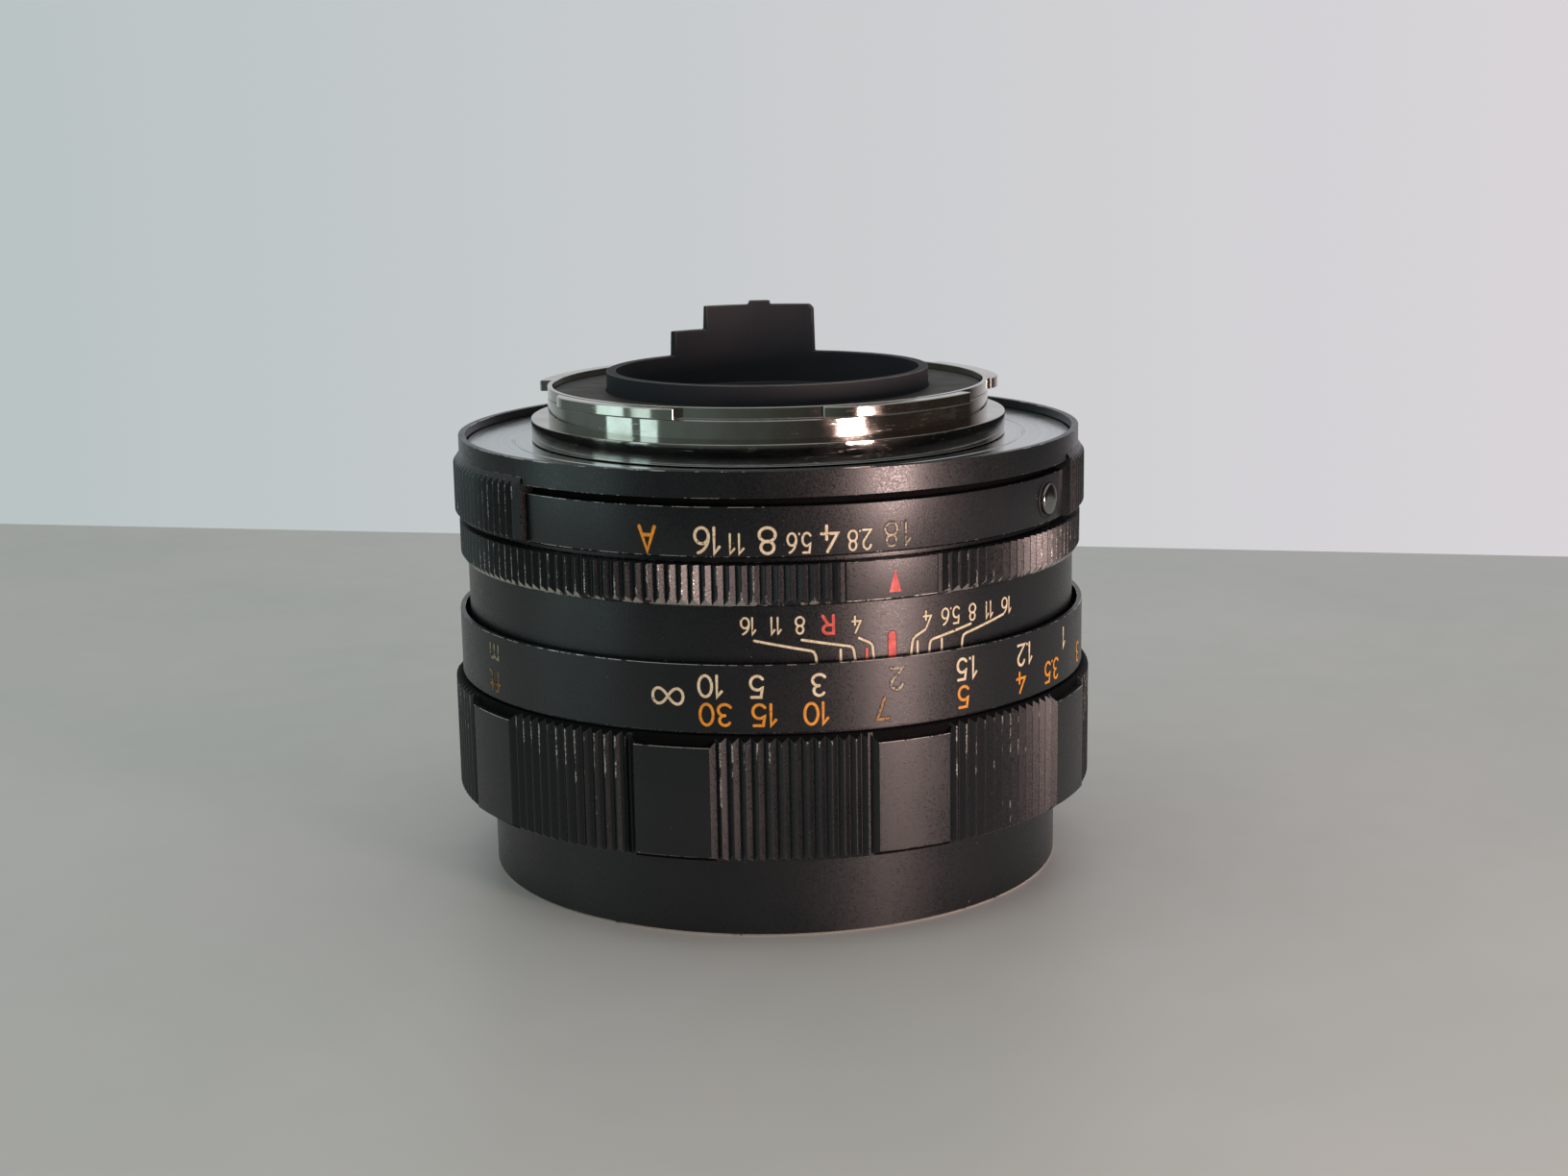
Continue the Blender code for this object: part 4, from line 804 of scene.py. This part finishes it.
COATINGS = ("#ffe9c4", "#e9d6ff")
GLASS_COLUMNS = 96
FRONT_VERTEX_Z = 10.0
LENSES = (
    # offset, thickness, front radius, rear radius, rim, hollow front reach, hollow rear reach
    (0.0, 4.2, 37.0, 150.0, 15.6, None, None),
    (4.45, 4.4, 22.5, 55.0, 13.4, None, None),
    (10.25, 1.6, 80.0, 14.6, 12.0, None, 10.2),
    (23.3, 1.5, -15.8, 85.0, 10.9, 9.6, None),
    (24.9, 6.8, 85.0, -22.5, 11.6, None, None),
    (32.0, 3.8, 120.0, -48.0, 12.4, None, None),
)


def arc_points(height, curve, rim, reach, rings=14):
    """Section points of one lens surface from the axis out to its rim."""
    limit = reach or rim
    points = []
    for step in range(rings + 1):
        radius = limit * step / rings
        depth = abs(curve) - math.sqrt(curve ** 2 - radius ** 2)
        points.append((radius, height + math.copysign(depth, curve)))
    if reach:
        points.append((rim, points[-1][1]))
    return points


glasses = []
for number, tint in enumerate(COATINGS, 1):
    material, tree, shader = new_material(f"coated_optical_glass_{number}")
    # Polished glass with a thin coating, clean but for a trace of dust
    place = object_place(tree)
    wire(tree, shader, Base_Color=colour("#f4f6fb"), IOR=1.62, Transmission_Weight=1.0,
         Specular_Tint=colour(tint),
         Roughness=ramp(tree, noise(tree, place, 0.3, 2.0), 0.74, 0.8, 0.0, 0.12))
    glasses.append(material)
for number, (offset, thick, front, rear, rim, front_reach, rear_reach) in enumerate(LENSES, 1):
    outline = arc_points(FRONT_VERTEX_Z + offset, front, rim, front_reach)
    outline += arc_points(FRONT_VERTEX_Z + offset + thick, rear, rim, rear_reach)[::-1]
    lens = turned(outline, GLASS_COLUMNS, closed=False)
    piece(f"lens_element_{number}", lens, glasses[number % 2], "optical_unit",
          [f"lens_{number}"])

# ---- rear cell -----------------------------------------------------------------------------
# The black brass cell of the rear group, with light-trapping grooves round its mouth.

cell_steps = []
for groove in range(3):
    rise = 44.3 + groove * 0.55
    cell_steps += [(12.6 + 0.35 * groove, rise), (12.95 + 0.35 * groove, rise)]
rear_cell = turned([(20.2, 29.764), (20.2, 30.964), (14.75, 30.964), (14.75, 46.0), (14.3, 46.0),
                    *cell_steps[::-1], (12.55, 43.9), (12.55, 41.9), (11.75, 41.9),
                    (11.75, 34.7), (11.05, 34.7), (11.05, 33.2), (9.9, 33.2), (9.9, 29.764)],
                   240)
piece("rear_cell_mouth", rear_cell, matt_black, "optical_unit", ["rear_cell"])

# ---- name ring -----------------------------------------------------------------------------
# The dished black ring in front of the glass, ribbed against stray light. Its flat rim, where the
# maker's lettering goes, is left plain.

name_section = [(23.5, 9.3), (23.5, 10.4), (16.6, 10.4), (16.2, 9.9)]
ribs = []
for rib in range(4):
    inner = 16.5 + rib * 0.8
    ribs += [(inner, 9.75 - 0.04 * rib), (inner + 0.1, 9.45 - 0.04 * rib),
             (inner + 0.6, 9.45 - 0.04 * rib)]
name_ring = turned([*name_section, *ribs, (19.7, 9.3)], 240)
piece("name_ring_face", name_ring, matt_black, "optical_unit", ["name_ring"])

# ---- inner cells, iris and mechanism ---------------------------------------------------------
# What shows of these, through the glass, is black brass and blackened steel. The sleeves, keys,
# screws and spring parts behind them are turned aluminium, brass and ground steel.

brass = turned_metal("turned_brass", "#b0894a", "#a27c42", 0.28, 0.14, 0.0015)
aluminium = turned_metal("turned_aluminium", "#b4b6b8", "#a8a9ab", 0.30, 0.14, 0.0015)
blackened, tree, shader = new_material("blackened_spring_steel")
place = object_place(tree)
# Thin steel leaf, chemically blackened, with fine rolling marks and a grey sheen
rolled = add_node(tree, "ShaderNodeMapping", Vector=place, Scale=(1.0, 0.08, 1.0))
marks = noise(tree, rolled.outputs[0], 0.12, 2.0)
wire(tree, shader,
     Base_Color=blend_colour(tree, ramp(tree, marks, 0.3, 0.7), colour("#2b2e34"),
                             colour("#3b3d42")),
     Metallic=1.0, Roughness=ramp(tree, marks, 0.3, 0.7, 0.34, 0.46),
     Normal=relief(tree, marks, 0.0008))
FINISHES = (
    (matt_black, ("front_cell", "front_retainer", "rear_spacer", "rear_retainer", "iris_housing",
                  "iris_cover")),
    (blackened, tuple(f"iris_blade_{number}" for number in range(1, 7))),
    (aluminium, ("main_barrel", "optical_tube")),
    (brass, ("focus_helicoid", "aperture_cam_ring")),
    (steel, ("guide_key_1", "guide_key_2", "mount_screw_1", "mount_screw_2", "mount_screw_3",
             "detent_ball", "detent_leaf", "lock_spring_strip", "aperture_drive_pin",
             "iris_drive_ring")),
)
for material, nodes in FINISHES:
    for node in nodes:
        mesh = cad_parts[node].data
        mesh.materials.clear()
        mesh.materials.append(material)

# ---- engraved scales -------------------------------------------------------------------------
# Numerals and lines are cut with a round-nosed cutter and filled with paint. Each stroke has a
# paint fill that is dirty and partly worn away, and round it a dark outline: painted shade for
# the cut's wall.

STROKE = 0.26
FINE_STROKE = 0.19
WALL = 0.085
FILL_PROUD = 0.016
WALL_PROUD = 0.006
SUNK = 0.06
LAYER_LIFT = 0.0012


def oval(x, y, across, up, first, last, steps=14):
    """Points on an oval from one angle to another, in degrees from the right, anticlockwise."""
    turns = [math.radians(first + (last - first) * step / steps) for step in range(steps + 1)]
    return [(x + across * math.cos(turn), y + up * math.sin(turn)) for turn in turns]


loop = [math.tau * step / 36 for step in range(37)]
GLYPHS = {
    # width, then the cutter's paths in units of the height
    "0": (0.62, [oval(0.31, 0.5, 0.31, 0.5, 90, 450, 28)]),
    "1": (0.22, [[(0.0, 0.74), (0.22, 1.0), (0.22, 0.0)]]),
    "2": (0.60, [oval(0.3, 0.71, 0.28, 0.29, 165, -38) + [(0.0, 0.0), (0.6, 0.0)]]),
    "3": (0.60, [oval(0.29, 0.76, 0.25, 0.24, 150, -90), oval(0.29, 0.27, 0.31, 0.27, 90, -150)]),
    "4": (0.66, [[(0.42, 1.0), (0.0, 0.3), (0.66, 0.3)], [(0.45, 0.52), (0.45, 0.0)]]),
    "5": (0.60, [[(0.56, 1.0), (0.12, 1.0), (0.05, 0.56)]
                 + oval(0.29, 0.33, 0.31, 0.33, 132, -145)]),
    "6": (0.60, [oval(0.3, 0.31, 0.3, 0.31, 90, 450, 24), oval(0.62, 0.34, 0.62, 0.66, 180, 105)]),
    "7": (0.58, [[(0.0, 1.0), (0.58, 1.0), (0.2, 0.0)]]),
    "8": (0.62, [oval(0.31, 0.76, 0.25, 0.24, 90, 450, 22),
                 oval(0.31, 0.27, 0.31, 0.27, 90, 450, 24)]),
    ".": (0.06, [[(0.03, 0.02), (0.03, 0.06)]]),
    "A": (0.66, [[(0.0, 0.0), (0.33, 1.0), (0.66, 0.0)], [(0.12, 0.34), (0.54, 0.34)]]),
    "R": (0.60, [[(0.0, 0.0), (0.0, 1.0)] + oval(0.32, 0.76, 0.26, 0.24, 90, -90, 10)
                 + [(0.0, 0.52)], [(0.3, 0.52), (0.6, 0.0)]]),
    "m": (0.84, [[(0.0, 0.0), (0.0, 0.72)],
                 oval(0.21, 0.48, 0.21, 0.22, 180, 0, 8) + [(0.42, 0.0)],
                 oval(0.63, 0.48, 0.21, 0.22, 180, 0, 8) + [(0.84, 0.0)]]),
    "f": (0.42, [[(0.17, 0.0)] + oval(0.37, 0.8, 0.2, 0.2, 180, 75, 8),
                 [(0.0, 0.62), (0.38, 0.62)]]),
    "t": (0.42, [[(0.17, 1.0)] + oval(0.37, 0.2, 0.2, 0.2, 180, 285, 8),
                 [(0.0, 0.68), (0.38, 0.68)]]),
    "∞": (1.50, [[(0.75 + 0.75 * math.cos(turn) / (1 + math.sin(turn) ** 2),
                   0.5 + 1.05 * math.sin(turn) * math.cos(turn) / (1 + math.sin(turn) ** 2))
                  for turn in loop]]),
}
SPACING = 0.24
DOT_SPACING = 0.19
DOT_STROKE = 0.8


def cut_stroke(bm, path, width, proud, on_surface, lift):
    """Sweep a round-ended stroke along a path of (sideways, up) points in millimetres."""
    points = [Vector(point) for point in path]
    half = width / 2
    closed = (points[0] - points[-1]).length < 1e-4 and len(points) > 3
    rows = []
    for index, point in enumerate(points):
        before = points[index - 1] if index else (points[-2] if closed else point)
        after = points[index + 1] if index + 1 < len(points) else (points[1] if closed else point)
        lead = (point - before).normalized() if (point - before).length > 1e-9 else None
        trail = (after - point).normalized() if (after - point).length > 1e-9 else None
        lead, trail = lead or trail, trail or lead
        mean = (lead + trail).normalized() if (lead + trail).length > 1e-6 else lead
        side = Vector((-mean.y, mean.x))
        stretch = min(1.0 / max(0.35, side.dot(Vector((-lead.y, lead.x)))), 1.9)
        rows.append((point + side * half * stretch, point - side * half * stretch))
    if not closed:
        for end, other, place in ((0, 1, 0), (-1, -2, len(points))):
            ahead = (points[end] - points[other]).normalized()
            side = Vector((-ahead.y, ahead.x)) * (1 if end else -1)
            cap = [(points[end] + (ahead * math.sin(turn) + side * math.cos(turn)) * half,
                    points[end] + (ahead * math.sin(turn) - side * math.cos(turn)) * half)
                   for turn in (math.radians(30), math.radians(60), math.radians(88))]
            rows = rows + cap if end else cap[::-1] + rows
    tops = [[bm.verts.new(on_surface(p, proud + lift)) for p in row] for row in rows]
    deep = [[bm.verts.new(on_surface(p, -SUNK)) for p in row] for row in rows]
    count = len(rows)
    for index in range(count - 1):
        (a, b), (c, d) = tops[index], tops[index + 1]
        (e, f), (g, h) = deep[index], deep[index + 1]
        for corners in ((a, b, d, c), (e, g, h, f), (a, c, g, e), (b, f, h, d)):
            bm.faces.new(corners)
    if not closed:
        for index in (0, count - 1):
            bm.faces.new((tops[index][0], tops[index][1], deep[index][1], deep[index][0]))


def on_ring(radius, azimuth, height, turn_over=True):
    """A function that lays (sideways, up) points on a ring's surface, upright or turned over."""
    sign = -1.0 if turn_over else 1.0

    def lay(point, proud):
        sideways = math.degrees(sign * point[0] / radius)
        return at(azimuth + sideways, radius + proud, height + sign * point[1])
    return lay


def cut_marks(name, body, strokes, paint, slot_name):
    """Make one object of painted strokes and one of their dark walls, an outline painted as shade.
    """
    # The wall is a wider dark outline under each stroke: painted shade for the cut
    for label, extra, proud, material, slot in (
            ("wall", WALL * 2, WALL_PROUD, cut_wall_shade, "matt_black"),
            ("fill", 0.0, FILL_PROUD, paint, slot_name)):
        bm = bmesh.new()
        for index, (path, width, lay) in enumerate(strokes):
            cut_stroke(bm, path, width + extra, proud, lay, LAYER_LIFT * (index % 5))
        tidy(bm)
        piece(f"{name}_{label}", bm, material, body, ())


def text_strokes(text, height, radius, azimuth, z, width=STROKE, squeeze=1.0):
    """Strokes of a numeral or word, centred on an azimuth and a height, turned over."""
    gaps = [DOT_SPACING if "." in pair else SPACING for pair in zip(text, text[1:])] + [0.0]
    left = -(sum(GLYPHS[letter][0] for letter in text) + sum(gaps)) / 2
    strokes = []
    for letter, gap in zip(text, gaps):
        wide, paths = GLYPHS[letter]
        for path in paths:
            strokes.append(([((left + x) * height * squeeze, (y - 0.5) * height)
                             for x, y in path], width * (DOT_STROKE if letter == "." else 1.0),
                            on_ring(radius, azimuth, z)))
        left += wide + gap
    return strokes


def engraving_paint(name, tone, worn_tone, dirt):
    """Brittle enamel rubbed into a cut line: uneven, stained, and missing in specks."""
    material, tree, shader = new_material(name)
    place = object_place(tree)
    stain = noise(tree, place, 0.5, 3.0, 0.6)
    gone = ramp(tree, noise(tree, place, 0.24, 2.0), dirt, dirt + 0.06)
    body = blend_colour(tree, ramp(tree, stain, 0.35, 0.7), colour(tone), colour(worn_tone))
    wire(tree, shader,
         Base_Color=blend_colour(tree, gone, body, colour("#2a2620")),
         Roughness=ramp(tree, stain, 0.3, 0.7, 0.42, 0.6),
         Normal=relief(tree, noise(tree, place, 0.12), 0.006))
    return material


cut_wall_shade, tree, shader = new_material("cut_wall_painted_shade")
place = object_place(tree)
# The wall of a cut line: a dark outline round each stroke, painted shade
wire(tree, shader,
     Base_Color=blend_colour(tree, noise(tree, place, 0.3), colour("#0d0c0b"), colour("#1c1712")),
     Roughness=ramp(tree, noise(tree, place, 0.2), 0.3, 0.7, 0.5, 0.75))
cream = engraving_paint("cream_enamel", "#ddd3b6", "#c2b48e", 0.64)
rubbed_cream = engraving_paint("cream_enamel_rubbed", "#b5a887", "#8f8368", 0.50)
amber = engraving_paint("amber_enamel", "#e39a26", "#c0781a", 0.68)
rubbed_amber = engraving_paint("amber_enamel_rubbed", "#a87425", "#7d5a22", 0.52)
red = engraving_paint("red_enamel", "#dd5248", "#b03c34", 0.69)

# Aperture stops
LABEL_Z = 37.2
TALL, SHORT = 2.3, 1.75
STOPS = (("16", -31.7, TALL, 0.9), ("11", -26.7, SHORT, 1.0), ("8", -21.6, TALL, 1.0),
         ("5.6", -16.3, SHORT, 0.72), ("4", -11.2, TALL, 0.95), ("2.8", -6.0, SHORT, 0.72))
strokes = []
for text, azimuth, height, squeeze in STOPS:
    strokes += text_strokes(text, height, LABEL_R, azimuth, LABEL_Z - (TALL - height) / 2,
                            STROKE if height == TALL else FINE_STROKE, squeeze)
cut_marks("aperture_stops", APERTURE_BODY, strokes, cream, "cream_paint")
cut_marks("widest_stop", APERTURE_BODY,
          text_strokes("1.8", 2.1, LABEL_R, 0.8, LABEL_Z, FINE_STROKE, 0.9), rubbed_cream,
          "cream_paint")
cut_marks("automatic_mark", APERTURE_BODY,
          text_strokes("A", 2.2, LABEL_R, -42.2, LABEL_Z, 0.32), amber, "amber_paint")

# Depth scale
DEPTH_MARKS = (("16", -25.1, 29.5), ("11", -20.4, 29.5), ("8", -16.4, 29.5), ("4", -6.7, 29.3),
               ("4", 6.45, 29.1), ("5.6", 11.3, 29.1), ("8", 16.1, 29.1), ("11", 20.2, 29.0),
               ("16", 24.7, 29.0))
DEPTH_LINES = (
    ((-24.1, 28.18), (-13.94, 27.07), (-13.4, 25.3)), ((-9.5, 27.1), (-9.5, 25.3)),
    ((-16.1, 28.17), (-7.31, 27.3), (-6.75, 25.3)),
    ((-6.28, 28.05), (-3.89, 27.42), (-3.58, 25.3)),
    ((6.05, 28.19), (3.6, 27.55), (3.03, 25.3)), ((4.5, 27.2), (4.5, 25.3)),
    ((15.67, 28.04), (7.01, 27.16), (6.61, 25.3)), ((9.36, 27.1), (9.36, 25.3)),
    ((23.86, 28.26), (13.92, 27.19), (13.49, 25.3)),
)


LINE_STEPS = 14


def line_path(corners):
    """A line through (azimuth, height) corners on the depth barrel, with softened bends."""
    flat = [Vector((math.radians(azimuth) * DEPTH_R, height)) for azimuth, height in corners]
    if len(flat) == 2:
        return flat
    first, bend, last = flat
    into = bend + (first - bend).normalized() * 0.35
    out_of = bend + (last - bend).normalized() * 0.35
    slope = [first.lerp(into, step / LINE_STEPS) for step in range(LINE_STEPS + 1)]
    return [*slope, (into + out_of + bend * 2) / 4, out_of, last]


def on_depth(point, proud):
    return at(math.degrees(point[0] / DEPTH_R), DEPTH_R + proud, point[1])


strokes = []
for text, azimuth, z in DEPTH_MARKS:
    strokes += text_strokes(text, 1.5, DEPTH_R, azimuth, z, FINE_STROKE - 0.02, 0.8)
strokes += [(line_path(corners), 0.22, on_depth) for corners in DEPTH_LINES]
cut_marks("depth_scale", "barrel", strokes, cream, "cream_paint")
strokes = text_strokes("R", 1.6, DEPTH_R, -11.6, 29.45, 0.26)
strokes.append((line_path(((-4.9, 27.0), (-4.9, 25.3))), 0.24, on_depth))
strokes.append((line_path(((-0.3, 28.05), (-0.3, 25.3))), 0.75, on_depth))
cut_marks("index_line", "barrel", strokes, red, "red_paint")

# Index triangle on the fixed grip ring
triangle = bmesh.new()
outline = ((-0.58, 32.05), (0.58, 32.05), (0.0, 34.1))
tops = [triangle.verts.new(at(math.degrees(x / PANEL_R), PANEL_R + 0.014, z)) for x, z in outline]
base = triangle.faces.new(tops)
sunk = bmesh.ops.extrude_face_region(triangle, geom=[base])
bmesh.ops.scale(triangle, vec=(0.997, 0.997, 1.0),
                verts=[v for v in sunk["geom"] if isinstance(v, bmesh.types.BMVert)])
tidy(triangle)
piece("index_triangle", triangle, red, "barrel", ())

# Distance scale
FEET_Z = 21.65
METRE_Z = 24.25
SCALE_HEIGHT = 1.92
METRES = (("∞", -38.6, 23.2), ("10", -31.4, METRE_Z), ("5", -23.7, METRE_Z),
          ("3", -13.6, METRE_Z), ("1.5", 13.3, METRE_Z), ("1.2", 27.6, METRE_Z),
          ("1", 42.3, METRE_Z), ("0.8", 66.5, METRE_Z), ("0.7", 84.4, METRE_Z),
          ("0.6", 109.6, METRE_Z), ("0.55", 126.6, METRE_Z))
RUBBED_METRES = (("2", -0.3, METRE_Z), ("m", -78.2, METRE_Z))
FEET = (("30", -30.6, FEET_Z), ("15", -22.6, FEET_Z), ("10", -14.1, FEET_Z), ("5", 12.6, FEET_Z),
        ("4", 26.5, FEET_Z), ("3.5", 36.9, FEET_Z), ("3", 52.0, FEET_Z), ("2.5", 72.7, FEET_Z),
        ("2", 106.7, FEET_Z), ("1.8", 127.0, FEET_Z))
RUBBED_FEET = (("7", -2.8, FEET_Z), ("ft", -78.4, FEET_Z))
for name, marks, paint, slot in (("distance_metres", METRES, cream, "cream_paint"),
                                 ("distance_metres_rubbed", RUBBED_METRES, rubbed_cream,
                                  "cream_paint"),
                                 ("distance_feet", FEET, amber, "amber_paint"),
                                 ("distance_feet_rubbed", RUBBED_FEET, rubbed_amber,
                                  "amber_paint")):
    strokes = []
    for text, azimuth, z in marks:
        strokes += text_strokes(text, SCALE_HEIGHT, SKIRT_R, azimuth, z, 0.25,
                                0.9 if "." in text else 1.0)
    cut_marks(name, "focus_ring", strokes, paint, slot)
